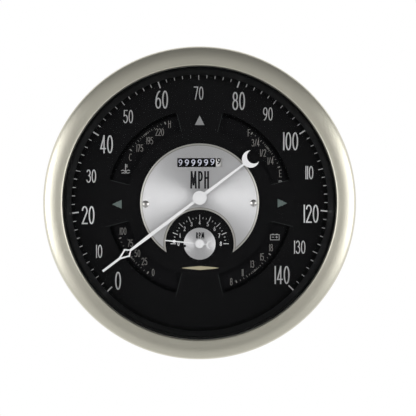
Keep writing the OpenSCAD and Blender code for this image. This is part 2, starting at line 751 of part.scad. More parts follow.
// Pinion k carries from the drum on its right to the drum k on its left
module pinion(k)
  color("ivory") facing() on_shaft(drum_x(k) + drum_pitch / 2) translate([transfer_s, 0, 0]) {
    half = plate_t / 2 + side_play;
    translate([0, 0, -half - 0.95]) linear_extrude(0.95)
      polygon(toothed(transfer_teeth, transfer_root_r, transfer_tip_r, 0.44, 0.2));
    translate([0, 0, -half - cut]) cylinder(r = journal_r, h = 2 * half + 2 * cut);
    translate([0, 0, half]) linear_extrude(0.8)
      polygon(toothed(transfer_teeth, transfer_root_r - 0.3, locked_tip_r, 0.5, 0.3));
  }

module counter_motor()
  color("silver") facing() translate([right_cheek_x + cheek_t, motor_y, motor_z]) rotate([0, 90, 0])
    difference() {
      union() {
        cylinder(d = motor_d, h = motor_l);
        translate([0, 0, -cheek_t]) cylinder(r = motor_boss_r, h = cheek_t + cut);
      }
      translate([0, 0, -cheek_t - cut]) cylinder(r = motor_shaft_r + run, h = motor_l + cheek_t - 1.2);
    }

module motor_pinion()
  color("goldenrod") facing() translate([gear_x, motor_y, motor_z]) rotate([0, 90, 0]) {
    linear_extrude(gear_w) polygon(toothed(motor_teeth, gear_m * (motor_teeth / 2 - 1.2),
      gear_m * (motor_teeth / 2 + 0.9), 0.5, 0.24, motor_turn));
    translate([0, 0, gear_w - cut])
      cylinder(r = motor_shaft_r, h = right_cheek_x + cheek_t - gear_x - gear_w + motor_l - 2);
  }

module movement_carrier()
  color("whitesmoke") facing() difference() {
    union() {
      translate([0, 0, floor_back_z]) cylinder(r = nest_r, h = floor_t);
      tube(nest_r, nest_r - carrier_wall, floor_back_z, lower_back_z - floor_back_z);
      for (p = screw_at) at(p, floor_z - cut) cylinder(r = screw_post_r, h = lower_back_z - floor_z + cut);
      for (p = around(stud_circle_r, stud_angles))
        at(p, back_inner_z) cylinder(r = stud_post_r, h = floor_back_z - back_inner_z + cut);
    }
    for (p = screw_at) bore(p, screw_r + run, lower_back_z - screw_grip - 1, screw_grip + 1);
    for (p = small_pivots) bore(p, spindle_hole_r, floor_back_z, floor_t);
    for (p = [speed_at, rev_at]) for (q = around(large_can_d / 2 - 2, [45:90:315]))
      bore(p + q, pin_r + 0.3, floor_back_z, floor_t);
    for (p = around(stud_circle_r, stud_angles)) bore(p, stud_root_r + run, back_inner_z, stud_grip + 1);
    for (p = around(lamp_r, lamp_angles)) bore(p, bulb_d / 2 + 1.2, floor_back_z, floor_t);
  }

module circuit_board()
  color("darkgreen") facing() difference() {
    union() {
      translate([0, 0, board_back_z]) cylinder(r = board_r, h = board_t);
      for (c = chips) translate([c[0] - c[2] / 2, c[1] - c[3] / 2, board_back_z - chip_h])
        cube([c[2], c[3], chip_h + cut]);
    }
    for (p = [speed_at, rev_at]) for (q = around(large_can_d / 2 - 2, [45:90:315]))
      bore(p + q, pin_r + run, board_back_z, board_t);
    for (p = small_pivots) for (q = around(small_can_d / 2 - 2, [45:90:315]))
      bore(p + q, pin_r + run, board_back_z, board_t);
  }

// Shouldered studs: thicker where they screw into the carrier's posts
module case_studs()
  color("gainsboro") facing() for (p = around(stud_circle_r, stud_angles)) {
    at(p, back_z - nut_h) cylinder(r = stud_root_r, h = nut_h + case_wall + stud_grip);
    at(p, back_z - nut_h - stud_free_l) cylinder(r = stud_r, h = stud_free_l + cut);
  }

module stud_nuts()
  color("silver") facing() for (p = around(stud_circle_r, stud_angles)) difference() {
    union() {
      at(p, back_z - nut_h) cylinder(d = nut_across_flats / cos(30), h = nut_h - nut_flange_t + cut, $fn = 6);
      at(p, back_z - nut_flange_t) cylinder(r = nut_flange_r, h = nut_flange_t);
    }
    bore(p, stud_root_r + run, back_z - nut_h, nut_h);
  }

module lamp_holders()
  color("#222222") facing() for (p = around(lamp_r, lamp_angles)) difference() {
    union() {
      at(p, back_z - lamp_flange_t) cylinder(r = lamp_holder_d / 2 + lamp_flange_w, h = lamp_flange_t);
      at(p, back_z - cut) cylinder(d = lamp_holder_d, h = holder_front_z - back_z + cut);
      // finger grip and two tabs for the wires
      at(p, back_z - lamp_flange_t - grip_size[2] / 2) cube(grip_size + [0, 0, 2 * cut], center = true);
      for (side = [-0.5, 0.5]) at(p + [side * tab_pitch, 0], back_z - lamp_flange_t - grip_size[2] - tab_size[2] / 2)
        cube(tab_size + [0, 0, 2 * cut], center = true);
    }
    at(p, holder_front_z - socket_depth) cylinder(d = bulb_d + 2 * run, h = socket_depth + cut);
  }

module lamp_bulbs()
  color("white", 0.6) facing() for (p = around(lamp_r, lamp_angles)) {
    at(p, holder_front_z - socket_depth)
      cylinder(d = bulb_d, h = bulb_tip_z - bulb_d / 2 - holder_front_z + socket_depth);
    at(p, bulb_tip_z - bulb_d / 2) intersection() {
      sphere(d = bulb_d);
      translate([0, 0, -cut]) cylinder(d = bulb_d + 2, h = bulb_d);
    }
  }

module terminal_block()
  color("#2a2a2a") facing() difference() {
    at(block_at, back_z - block_past_back) translate([-block_size[0] / 2, -block_size[1] / 2, 0])
      cube([block_size[0], block_size[1], board_back_z - back_z + block_past_back]);
    for (p = blade_places) at(p, back_z - block_past_back)
      cube([blade_size[0] + 2 * cut, blade_size[1] + 2 * cut, 2 * blade_seat], center = true);
  }

module terminal_blades()
  color("gold") facing() for (p = blade_places) at(p, back_z - block_past_back + blade_seat) rotate([90, 0, 0])
    translate([0, 0, -blade_size[1] / 2]) linear_extrude(blade_size[1]) {
      half = blade_size[0] / 2;
      tip = -blade_seat - blade_out;
      polygon([[-half, 0], [-half, tip + blade_nose], [blade_nose - half, tip], [half - blade_nose, tip],
               [half, tip + blade_nose], [half, 0]]);
    }

blade_places = [for (i = [0:blade_columns - 1]) for (j = [-0.5, 0.5])
  block_at + [(i - (blade_columns - 1) / 2) * blade_pitch[0], j * blade_pitch[1]]];

speed_spec = [speed_at, large_can_d, large_can_h, large_front_z, speed_pointer_z + speed_pointer_t];
rev_spec = [rev_at, large_can_d, large_can_h, large_front_z, rev_pointer_z + small_pointer_t];
function small_spec(p) = [p, small_can_d, small_can_h, floor_back_z, small_pointer_z + small_pointer_t];
module movement_of(s) movement(s[0], s[1], s[2], s[3]);
module rotor_of(s) rotor(s[0], s[1], s[2], s[3], s[4]);

bezel();
panel_gasket();
lens();
lens_seal();
case_shell();
visor_ring();
dial_plate();
lower_dial();
centre_plate();
dial_screws();
rev_disc();
rev_stop_pin();
indicator_lenses();
indicator_lamps();
speed_pointer();
speed_cap();
rotor_of(speed_spec);  // speed_rotor
movement_of(speed_spec);  // speed_movement
rev_pointer();
rev_cap();
rotor_of(rev_spec);  // rev_rotor
movement_of(rev_spec);  // rev_movement
small_pointer(temp_at, temp_rest);  // temp_pointer
rotor_of(small_spec(temp_at));  // temp_rotor
movement_of(small_spec(temp_at));  // temp_movement
small_pointer(fuel_at, fuel_rest);  // fuel_pointer
rotor_of(small_spec(fuel_at));  // fuel_rotor
movement_of(small_spec(fuel_at));  // fuel_movement
small_pointer(oil_at, oil_rest);  // oil_pointer
rotor_of(small_spec(oil_at));  // oil_rotor
movement_of(small_spec(oil_at));  // oil_movement
small_pointer(volt_at, volt_rest);  // volt_pointer
rotor_of(small_spec(volt_at));  // volt_rotor
movement_of(small_spec(volt_at));  // volt_movement
counter_frame();
drum_shaft();
for (k = [1:drum_count]) drum(k);
transfer_plates();
for (k = [1:drum_count - 1]) pinion(k);
counter_motor();
motor_pinion();
movement_carrier();
circuit_board();
case_studs();
stud_nuts();
lamp_holders();
lamp_bulbs();
terminal_block();
terminal_blades();
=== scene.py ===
import json
from math import ceil, cos, hypot, pi, radians, sin

import bpy
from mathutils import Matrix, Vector


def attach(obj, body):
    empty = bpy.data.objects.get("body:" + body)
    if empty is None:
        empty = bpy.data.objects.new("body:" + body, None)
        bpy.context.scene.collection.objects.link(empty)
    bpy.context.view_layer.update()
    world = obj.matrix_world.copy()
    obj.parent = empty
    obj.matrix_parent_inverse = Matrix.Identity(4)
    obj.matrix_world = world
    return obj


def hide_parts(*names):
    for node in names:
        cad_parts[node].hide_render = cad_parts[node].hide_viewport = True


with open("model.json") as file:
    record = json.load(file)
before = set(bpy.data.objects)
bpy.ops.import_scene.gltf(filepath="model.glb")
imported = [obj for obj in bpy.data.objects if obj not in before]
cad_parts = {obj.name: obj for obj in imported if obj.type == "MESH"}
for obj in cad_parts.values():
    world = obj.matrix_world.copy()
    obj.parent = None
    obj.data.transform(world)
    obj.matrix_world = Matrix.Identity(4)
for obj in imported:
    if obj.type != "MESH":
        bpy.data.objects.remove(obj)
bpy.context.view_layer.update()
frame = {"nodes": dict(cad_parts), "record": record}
print("frame loaded,", len(frame["nodes"]), "nodes")

mm = 0.001  # sizes are written in millimetres, but for the few that are noted as metres


def dialPoint(x, y, z=0.0):
    # x right, y up and z towards the viewer, in millimetres from the dial's middle
    return Vector((x, -z, y)) * mm


# node trees are written as sums on their sockets
def maths(operation, *terms):
    sheet = next(term.sheet for term in terms if isinstance(term, Wire))
    return sheet.add("ShaderNodeMath", {"operation": operation}, dict(enumerate(terms)))


class Wire:
    def __init__(self, sheet, socket):
        self.sheet = sheet
        self.socket = socket

    def __add__(self, other):
        return maths("ADD", self, other)

    def __radd__(self, other):
        return maths("ADD", other, self)

    def __sub__(self, other):
        return maths("SUBTRACT", self, other)

    def __rsub__(self, other):
        return maths("SUBTRACT", other, self)

    def __mul__(self, other):
        return maths("MULTIPLY", self, other)

    def __rmul__(self, other):
        return maths("MULTIPLY", other, self)

    def __truediv__(self, other):
        return maths("DIVIDE", self, other)

    def __mod__(self, other):
        return maths("MODULO", self, other)

    def __lt__(self, other):
        return maths("LESS_THAN", self, other)

    def __gt__(self, other):
        return maths("GREATER_THAN", self, other)

    def ramp(self, low, high):
        # 0 at low, 1 at high, smooth between
        return self.sheet.add("ShaderNodeMapRange", {"interpolation_type": "SMOOTHSTEP"},
                              {"Value": self, "From Min": low, "From Max": high})


class NodeSheet:
    def __init__(self, tree):
        self.tree = tree
        tree.nodes.clear()

    def add(self, kind, settings=None, sockets=None, output=0):
        # a node from its type, its settings, its sockets' values or wires, and the output wanted
        node = self.tree.nodes.new(kind)
        for name, value in (settings or {}).items():
            setattr(node, name, value)
        for key, value in (sockets or {}).items():
            socket = node.inputs[key]
            if isinstance(value, Wire):
                self.tree.links.new(value.socket, socket)
            elif socket.type == "RGBA" and len(value) == 3:
                socket.default_value = (*value, 1.0)
            else:
                socket.default_value = value
        if isinstance(output, tuple):
            return [Wire(self, node.outputs[name]) for name in output]
        return Wire(self, node.outputs[output]) if len(node.outputs) else node


# lathe grooves: streak is how far apart stronger and weaker ones lie and uneven how much they differ,
# sharp and flat shape a groove's slope, and eye is the plain spot left in the middle
grooves = {"streak": 0.45, "uneven": 0.5, "sharp": 0.7, "flat": 0.3, "eye": 0.2}


class Finish(NodeSheet):
    # one material, patterned on the object's own coordinates
    def __init__(self, name):
        self.material = bpy.data.materials.new(name)
        self.material.use_nodes = True
        super().__init__(self.material.node_tree)
        self.place = self.add("ShaderNodeTexCoord", output="Object")
        axes = self.add("ShaderNodeSeparateXYZ", None, {0: self.place}, ("X", "Y", "Z"))
        self.x, self.y, self.z = [axis / mm for axis in axes]

    def grain(self, size, detail=2.0, stretch=(1, 1, 1)):
        # soft noise from 0 to 1 with features of a size in millimetres
        spot = self.add("ShaderNodeMapping", {"vector_type": "POINT"},
                        {"Vector": self.place, "Scale": [s / (size * mm) for s in stretch]})
        return self.add("ShaderNodeTexNoise", None, {"Vector": spot, "Scale": 1.0, "Detail": detail})

    def blend(self, share, first, second):
        return self.add("ShaderNodeMix", {"data_type": "RGBA"}, {0: share, 6: first, 7: second}, 2)

    def bump(self, height, depth, strength=1.0):
        return self.add("ShaderNodeBump", None,
                        {"Height": height, "Distance": depth * mm, "Strength": strength})

    def reach(self, centre):
        # the distance from a point of the dial, and its two parts
        across = self.x - centre[0]
        up = self.z - centre[1]
        return maths("SQRT", across * across + up * up), across, up

    def spun(self, centre, spacing, lean):
        # within each groove the surface leans along the radius from one side to the other
        radius, across, up = self.reach(centre)
        lines = self.add("ShaderNodeTexNoise", {"noise_dimensions": "1D"},
                         {"W": radius / grooves["streak"], "Scale": 1.0, "Detail": 2.0})
        groove = (radius / spacing) % 1.0 * 2.0 - 1.0
        slope = groove * (groove * groove * grooves["sharp"] + grooves["flat"])
        slope = slope * (lines * grooves["uneven"] + (1.0 - grooves["uneven"] / 2))
        amount = slope * lean / (radius + grooves["eye"])
        push = self.add("ShaderNodeCombineXYZ", None, {"X": across * amount, "Z": up * amount})
        facing = self.add("ShaderNodeNewGeometry", output="Normal")
        tilted = self.add("ShaderNodeVectorMath", {"operation": "ADD"}, {0: facing, 1: push})
        return self.add("ShaderNodeVectorMath", {"operation": "NORMALIZE"}, {0: tilted}), lines

    def surface(self, sockets):
        body = self.add("ShaderNodeBsdfPrincipled", None, sockets)
        self.add("ShaderNodeOutputMaterial", None, {"Surface": body})
        return self.material


def shaded(tint, share):
    return tuple(c * share for c in tint)


bezelLook = {
    "tint": (0.705, 0.682, 0.578), "worn": 0.86, "smudge": 26.0, "smudgeShare": 0.35, "lineShare": 0.25,
    "groove": 0.16, "lean": 0.3, "rough": 0.26, "smudgeRough": 0.1,
    "lipSpan": (84.0, 80.5), "lipRough": 0.06,  # the rolled inner lip is left rougher than the face
}


def bezelSteel():
    f = Finish("satinSteel")
    b = bezelLook
    normal, lines = f.spun((0, 0), b["groove"], b["lean"])
    smudge = f.grain(b["smudge"], 3.0)
    wear = smudge * b["smudgeShare"] + lines * b["lineShare"]
    tint = f.blend(wear, b["tint"], shaded(b["tint"], b["worn"]))
    lip = f.reach((0, 0))[0].ramp(*b["lipSpan"])
    return f.surface({"Base Color": tint, "Metallic": 1.0, "Normal": normal,
                      "Roughness": b["rough"] + smudge * b["smudgeRough"] + lip * b["lipRough"]})


plateLook = {
    "tint": (0.795, 0.795, 0.805), "dull": (0.74, 0.74, 0.75), "dullShare": 0.2, "haze": 14.0,
    "groove": 0.07, "lean": 0.62, "rough": 0.34, "hazeRough": 0.06, "coat": 0.15, "coatRough": 0.15,
    "rimTint": (0.70, 0.685, 0.64), "rimFrom": 0.15, "rimWhole": 0.4,
    "rimPaintedShadow": (0.42, 0.41, 0.38), "paintedShadowReach": 0.25,
}


def spunPlate(name, centre, rims=()):
    # rims are (centre, foot, edge) of rolled edges, warmer and darker than the face, with a painted shadow
    # along the foot:
    # foot is the radius where the rim rises out of the face, edge where it ends
    f = Finish(name)
    p = plateLook
    normal, lines = f.spun(centre, p["groove"], p["lean"])
    haze = f.grain(p["haze"], 2.0)
    tint = f.blend(lines * p["dullShare"] + haze * p["dullShare"], p["tint"], p["dull"])
    for middle, foot, edge in rims:
        span = abs(edge - foot)
        depth = maths("ABSOLUTE", f.reach(middle)[0] - edge)
        # painted shadow: a dark line round the rim's foot, running a little onto the face
        tint = f.blend(depth.ramp(span + p["paintedShadowReach"], span), tint, p["rimPaintedShadow"])
        tint = f.blend(depth.ramp(span - p["rimFrom"], span - p["rimWhole"]), tint, p["rimTint"])
    return f.surface({"Base Color": tint, "Metallic": 1.0, "Normal": normal,
                      "Roughness": p["rough"] + haze * p["hazeRough"], "Coat Weight": p["coat"],
                      "Coat Roughness": p["coatRough"]})


# what the looks below share: texture is the fine grain of a surface and tone the slow drift over it,
# each a size, a detail and a stretch, and colourBy and roughBy are their shares in colour and roughness
mattBlack = {"tone": (18.0, 2.0), "colourBy": (0.6, 0.4), "spread": (0.7, 1.35), "roughBy": (0.12, 0),
             "relief": (0.012, 0.3), "edgeShade": 0.2}
whitePaint = {"texture": (0.6, 2.0), "tone": (7.0, 2.0), "spread": (1.0, 0.94), "roughBy": (0.08, 0),
              "specular": 0.35, "relief": (0.02, 0.3)}
moulded = {"texture": (0.4, 3.0), "tone": (9.0, 2.0, (1, 0.4, 1)), "colourBy": (0.3, 0.7),
           "spread": (1.0, 0.84), "roughBy": (0.12, 0), "specular": 0.4, "relief": (0.03, 0.4)}
printed = {"texture": (0.25, 2.0), "spread": (1.0, 0.88), "rough": 0.55, "roughBy": (0.1, 0),
           "specular": 0.15}

looks = {
    # edge is the pair of radii over which the black darkens into a painted shade: on the visor towards its
    # lip, on the dial where it meets the visor, in the windows towards their outer edges
    "visorPaint": {**mattBlack, "tint": (0.016, 0.0165, 0.017), "texture": (0.6, 2.0), "rough": 0.39,
                   "specular": 0.16, "edge": (75.4, 76.4)},
    "dialPaint": {**mattBlack, "tint": (0.0042, 0.0042, 0.0046), "texture": (0.35, 2.0), "rough": 0.56,
                  "specular": 0.055, "edge": (70.3, 72.0)},
    "lowerDialPaint": {**mattBlack, "tint": (0.006, 0.006, 0.0066), "texture": (0.35, 2.0), "rough": 0.64,
                       "specular": 0.02, "edge": (50.4, 52.0)},
    "blackedSteel": {**mattBlack, "tint": (0.01, 0.01, 0.01), "texture": (0.4, 2.0), "rough": 0.34,
                     "specular": 0.3},
    "pointerPaint": {**whitePaint, "tint": (0.93, 0.93, 0.94), "rough": 0.45},
    "capPlastic": {**whitePaint, "tint": (0.88, 0.88, 0.89), "rough": 0.3},
    "drumBlack": {**moulded, "tint": (0.003, 0.003, 0.0035), "rough": 0.5, "specular": 0.05},
    "drumWhite": {**moulded, "tint": (0.86, 0.85, 0.84), "rough": 0.42},
    "naturalAcetal": {**moulded, "tint": (0.72, 0.71, 0.66), "texture": (0.5, 3.0), "rough": 0.4},
    "lightBoxWhite": {**moulded, "tint": (0.78, 0.78, 0.76), "texture": (0.8, 3.0), "rough": 0.5},
    "blackMoulding": {**moulded, "tint": (0.018, 0.018, 0.019), "texture": (0.6, 3.0), "rough": 0.45},
    "mouldedRubber": {"tints": ((0.018, 0.018, 0.018), (0.04, 0.04, 0.038)), "texture": (0.5, 3.0),
                      "tone": (9.0, 2.0), "rough": 0.72, "roughBy": (0, 0.15), "relief": (0.05, 0.6)},
    # drawing dies leave lines along the case's barrel and the cans
    "drawnZinc": {"tints": ((0.60, 0.60, 0.57), (0.52, 0.51, 0.44)), "texture": (1.2, 3.0, (1, 0.04, 1)),
                  "tone": (22.0, 3.0), "rough": 0.34, "roughBy": (0.18, 0), "relief": (0.03, 0.35),
                  "metallic": 1.0},
    "drawnCan": {"tints": ((0.66, 0.65, 0.62), (0.56, 0.55, 0.52)), "texture": (0.5, 3.0, (1, 0.06, 1)),
                 "tone": (8.0, 2.0), "rough": 0.26, "roughBy": (0.2, 0), "relief": (0.02, 0.35),
                 "metallic": 1.0},
    "brightSteel": {"tints": ((0.72, 0.71, 0.69), (0.52, 0.51, 0.50)), "texture": (0.4, 2.0),
                    "tone": (2.5, 2.0), "rough": 0.22, "roughBy": (0, 0.14), "relief": (0.02, 0.3),
                    "metallic": 1.0},
    "cutBrass": {"tints": ((0.80, 0.60, 0.28), (0.50, 0.34, 0.15)), "texture": (0.5, 2.0, (1, 0.1, 1)),
                 "tone": (4.0, 3.0), "toneSpan": (0.45, 0.75), "rough": 0.24, "roughBy": (0, 0.2),
                 "relief": (0.02, 0.4), "metallic": 1.0},
    "sinteredMagnet": {"tints": ((0.05, 0.05, 0.055), (0.16, 0.155, 0.15)), "texture": (0.35, 4.0),
                       "rough": 0.5, "roughBy": (0.2, 0), "relief": (0.05, 0.6), "metallic": 0.8},
    "windowInk": {**printed, "tint": (0.27, 0.26, 0.25)},
    "signInk": {**printed, "tint": (0.42, 0.42, 0.42)},
    "drumInk": {**printed, "tint": (0.72, 0.74, 0.86)},
    "plateInk": {**printed, "tint": (0.008, 0.008, 0.009)},
    # painted highlight for the glints along the windows' cut ends
    "paintedEdgeGlint": {**printed, "tint": (0.05, 0.055, 0.055)},
    "giltInk": {**printed, "tint": (0.50, 0.45, 0.31)},
}


def shareOf(texture, tone, shares):
    # the sum of the two patterns, without the one that has no share
    parts = [pattern * share for pattern, share in zip((texture, tone), shares) if share]
    return sum(parts[1:], parts[0])


def patterned(name, look):
    f = Finish(name)
    texture = f.grain(*look["texture"])
    tone = f.grain(*look["tone"]) if "tone" in look else texture
    share = shareOf(texture, tone, look["colourBy"]) if "colourBy" in look else tone
    if "toneSpan" in look:
        share = share.ramp(*look["toneSpan"])
    first, second = look.get("tints") or [shaded(look["tint"], s) for s in look["spread"]]
    tint = f.blend(share, first, second)
    # painted shade: between the radii of edge the black falls to a share of its tint
    if "edge" in look:
        paintedShade = f.reach((0, 0))[0].ramp(*look["edge"])
        tint = f.blend(paintedShade, tint, shaded(look["tint"], look["edgeShade"]))
    sockets = {"Base Color": tint, "Roughness": look["rough"] + shareOf(texture, tone, look["roughBy"])}
    if "relief" in look:
        sockets["Normal"] = f.bump(texture, *look["relief"])
    for key, socket in (("metallic", "Metallic"), ("specular", "Specular IOR Level")):
        if key in look:
            sockets[socket] = look[key]
    return f.surface(sockets)


lensLook = {"tint": (0.01, 0.012, 0.012), "alpha": 0.03, "slantAlpha": 0.45, "rough": 0.02, "wipe": 40.0,
            "wipeRough": 0.02, "ior": 1.5, "facing": 0.25,
            # under the bezel its edge is ground
            "groundSpan": (86.6, 86.9), "groundTint": (0.5, 0.55, 0.53), "groundRough": 0.4,
            "groundAlpha": 0.5}


def clearLens():
    f = Finish("floatGlass")
    g = lensLook
    slant = f.add("ShaderNodeLayerWeight", None, {"Blend": g["facing"]}, "Facing")
    ground = f.reach((0, 0))[0].ramp(*g["groundSpan"])
    wipe = f.grain(g["wipe"], 2.0)
    return f.surface({"Base Color": f.blend(ground, g["tint"], g["groundTint"]),
                      "Roughness": g["rough"] + wipe * g["wipeRough"] + ground * g["groundRough"],
                      "Alpha": g["alpha"] + slant * slant * g["slantAlpha"] + ground * g["groundAlpha"],
                      "IOR": g["ior"]})


lampLook = {"flow": 1.4, "rough": 0.08, "flowRough": 0.08, "alpha": 0.35, "rimAlpha": 0.6, "facing": 0.4,
            "ior": 1.49,
            "tints": {"clearLamp": ((0.85, 0.84, 0.78), (0.7, 0.69, 0.62)),
                      "bulbGlass": ((0.9, 0.9, 0.88), (0.8, 0.78, 0.72))}}


def clearLamp(name):
    f = Finish(name)
    c = lampLook
    flow = f.grain(c["flow"], 2.0)
    rim = f.add("ShaderNodeLayerWeight", None, {"Blend": c["facing"]}, "Facing")
    return f.surface({"Base Color": f.blend(flow, *c["tints"][name]),
                      "Roughness": c["rough"] + flow * c["flowRough"],
                      "Alpha": c["alpha"] + rim * c["rimAlpha"], "IOR": c["ior"]})


acrylic = {"green": (0.105, 0.145, 0.135), "grey": (0.26, 0.26, 0.265), "greyFrom": (20.0, 30.0),
           "cloud": 1.6, "cloudTint": (0.2, 0.21, 0.2), "cloudShare": 0.4, "rough": 0.34,
           "cloudRough": 0.1, "specular": 0.3, "relief": (0.03, 0.3)}


def smokedAcrylic():
    f = Finish("smokedAcrylic")
    a = acrylic
    cloud = f.grain(a["cloud"], 2.0)
    tint = f.blend(f.z.ramp(*a["greyFrom"]), a["green"], a["grey"])  # no green in the upper one
    return f.surface({"Base Color": f.blend(cloud * a["cloudShare"], tint, a["cloudTint"]),
                      "Roughness": a["rough"] + cloud * a["cloudRough"],
                      "Specular IOR Level": a["specular"], "Normal": f.bump(cloud, *a["relief"])})


spangled = {"crystals": 260.0, "tints": ((0.66, 0.66, 0.65), (0.54, 0.55, 0.56)), "rough": 0.3,
            "crystalRough": 0.14, "grain": 0.6, "relief": (0.02, 0.3)}


def pressedZinc():
    f = Finish("pressedZinc")
    z = spangled
    crystal = f.add("ShaderNodeTexVoronoi", {"feature": "F1"},
                    {"Vector": f.place, "Scale": z["crystals"]}, "Color")
    tone = f.add("ShaderNodeSeparateColor", None, {0: crystal}, 0)
    return f.surface({"Base Color": f.blend(tone, *z["tints"]), "Metallic": 1.0,
                      "Roughness": z["rough"] + tone * z["crystalRough"],
                      "Normal": f.bump(f.grain(z["grain"]), *z["relief"])})


board = {"pitch": 5.0, "rungPitch": 8.5, "track": 0.16, "rung": 0.096, "patch": 24.0,
         "patchAbove": 0.5, "patchBelow": 0.47, "weave": 0.5, "weaveRelief": 0.2,
         "tints": ((0.012, 0.085, 0.03), (0.05, 0.20, 0.06)), "rough": 0.3, "weaveRough": 0.1,
         "lacquer": 0.3, "relief": (0.05, 0.6)}


def lacqueredBoard():
    # copper tracks under green lacquer, one way in some patches and the other way in others
    f = Finish("lacqueredBoard")
    b = board
    lane = maths("FRACT", f.x / b["pitch"])
    rung = maths("FRACT", f.z / b["rungPitch"])
    patch = f.grain(b["patch"], 0.0)
    along = (maths("ABSOLUTE", lane - 0.5) < b["track"]) * (patch > b["patchAbove"])
    over = (maths("ABSOLUTE", rung - 0.5) < b["rung"]) * (patch < b["patchBelow"])
    copper = maths("MAXIMUM", along, over)
    weave = f.grain(b["weave"], 1.0)
    return f.surface({"Base Color": f.blend(copper, *b["tints"]),
                      "Roughness": b["rough"] + weave * b["weaveRough"], "Coat Weight": b["lacquer"],
                      "Normal": f.bump(copper + weave * b["weaveRelief"], *b["relief"])})


spinCentre = (0.0, 2.9)  # the lathe's centre on the plate, which is the speed spindle
revPivot = (0.0, -23.35)
plateRims = (((0, 0), 32.85, 33.95), (revPivot, 20.6, 19.5))

finishes = {name: patterned(name, look) for name, look in looks.items()}
finishes.update({
    "satinSteel": bezelSteel(),
    "spunPlate": spunPlate("spunPlate", spinCentre, plateRims),
    "spunDisc": spunPlate("spunDisc", revPivot),
    # the dial's figures and ticks are its bare spun metal, left by the black print
    "bareDial": spunPlate("bareDial", spinCentre),
    "bareRevDial": spunPlate("bareRevDial", revPivot),
    "floatGlass": clearLens(), "smokedAcrylic": smokedAcrylic(), "clearLamp": clearLamp("clearLamp"),
    "bulbGlass": clearLamp("bulbGlass"), "pressedZinc": pressedZinc(), "lacqueredBoard": lacqueredBoard(),
})
slotFinish = {
    "bezel": "satinSteel", "rubber": "mouldedRubber", "lens": "floatGlass", "case_metal": "drawnZinc",
    "visor": "visorPaint", "dial": "dialPaint", "lower_dial": "lowerDialPaint", "plate": "spunPlate",
    "screw": "brightSteel", "black_metal": "blackedSteel", "indicator": "smokedAcrylic",
    "lamp": "clearLamp", "pointer": "pointerPaint", "cap": "capPlastic", "magnet": "sinteredMagnet",
    "can": "drawnCan", "counter_metal": "pressedZinc", "drum_black": "drumBlack",
    "drum_white": "drumWhite", "acetal": "naturalAcetal", "brass": "cutBrass",
    "light_box": "lightBoxWhite", "board": "lacqueredBoard", "black_plastic": "blackMoulding",
    "bulb": "bulbGlass",
}
for part in frame["record"]["subparts"]:
    node = frame["nodes"][part["node"]]
    if not node.material_slots:
        node.data.materials.append(None)
    for holder in node.material_slots:
        holder.material = finishes[slotFinish[part["material_slot"]]]
frame["nodes"]["rev_disc"].material_slots[0].material = finishes["spunDisc"]
print("finishes on every solid,", len(finishes), "made")


def linkedPiece(name, mesh, body="gauge"):
    # the stage's pieces ride on no body
    piece = bpy.data.objects.new(name, mesh)
    bpy.context.scene.collection.objects.link(piece)
    if body:
        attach(piece, body)
    return piece


def meshPiece(name, points, faces, material, body="gauge"):
    mesh = bpy.data.meshes.new(name)
    mesh.from_pydata(points, [], faces)
    mesh.materials.append(material)
    mesh.update()
    return linkedPiece(name, mesh, body)


def openTree(name, entry):
    # a Geometry Nodes tree with named inputs, the sheet it is written on, and its inputs' wires
    tree = bpy.data.node_groups.new(name, "GeometryNodeTree")
    tree.interface.new_socket("Geometry", in_out="OUTPUT", socket_type="NodeSocketGeometry")
    for socket, (kind, value) in entry.items():
        item = tree.interface.new_socket(socket, in_out="INPUT", socket_type=kind)
        if value is not None:
            item.default_value = value
    g = NodeSheet(tree)
    return tree, g, dict(zip(entry, g.add("NodeGroupInput", output=tuple(entry))))


def closeTree(g, geometry, material):
    # the tree's last nodes: millimetres on the dial become metres in the frame
    solid = g.add("GeometryNodeRealizeInstances", None, {0: geometry})
    placed = g.add("GeometryNodeTransform", None,
                   {"Geometry": solid, "Rotation": (pi / 2, 0, 0), "Scale": (mm, mm, mm)})
    dressed = g.add("GeometryNodeSetMaterial", None, {"Geometry": placed, "Material": material})
    g.add("NodeGroupOutput", None, {"Geometry": dressed})


def grownPiece(name, tree, inputs, outline=()):
    # runs a tree on a closed outline, or on nothing, and keeps the result as a plain mesh
    start = bpy.data.meshes.new(name + "Seed")
    start.from_pydata(outline, [(i, (i + 1) % len(outline)) for i in range(len(outline))], [])
    seed = bpy.data.objects.new(name + "Seed", start)
    bpy.context.scene.collection.objects.link(seed)
    modifier = seed.modifiers.new("grow", "NODES")
    modifier.node_group = tree
    idOf = {item.name: item.identifier for item in tree.interface.items_tree if item.in_out == "INPUT"}
    for key, value in inputs.items():
        modifier[idOf[key]] = value
    seed.update_tag()
    bpy.context.view_layer.update()
    graph = bpy.context.evaluated_depsgraph_get()
    mesh = bpy.data.meshes.new_from_object(seed.evaluated_get(graph))
    bpy.data.objects.remove(seed)
    mesh.name = name
    return linkedPiece(name, mesh)


# the same arcs as the solid's, only in more steps
bezel = {
    "faceCentre": (81.0, -4.2), "faceRadius": 14.0, "faceSteps": 16,
    "shoulderCentre": (86.0, 5.60), "shoulderRadius": 3.0, "shoulderTurn": 62.96, "shoulderSteps": 12,
    "lipCentre": (79.0, 8.65), "lipRadius": 1.0, "lipTurn": 98.85, "lipSteps": 10, "lipEnd": 6.8,
    "outer": 89.0, "inner": 78.0, "wall": 1.2, "wallShort": 0.8, "wallSteps": 8,
    "foot": 1.0, "flangeBack": 2.2, "crimp": 85.0, "path": 81.0, "turns": 360, "sharp": 40.0,
}


def bend(centre, radius, start, end, steps):
    spread = [radians(start + (end - start) * i / steps) for i in range(steps + 1)]
    return [(centre[0] + radius * cos(a), centre[1] + radius * sin(a)) for a in spread]


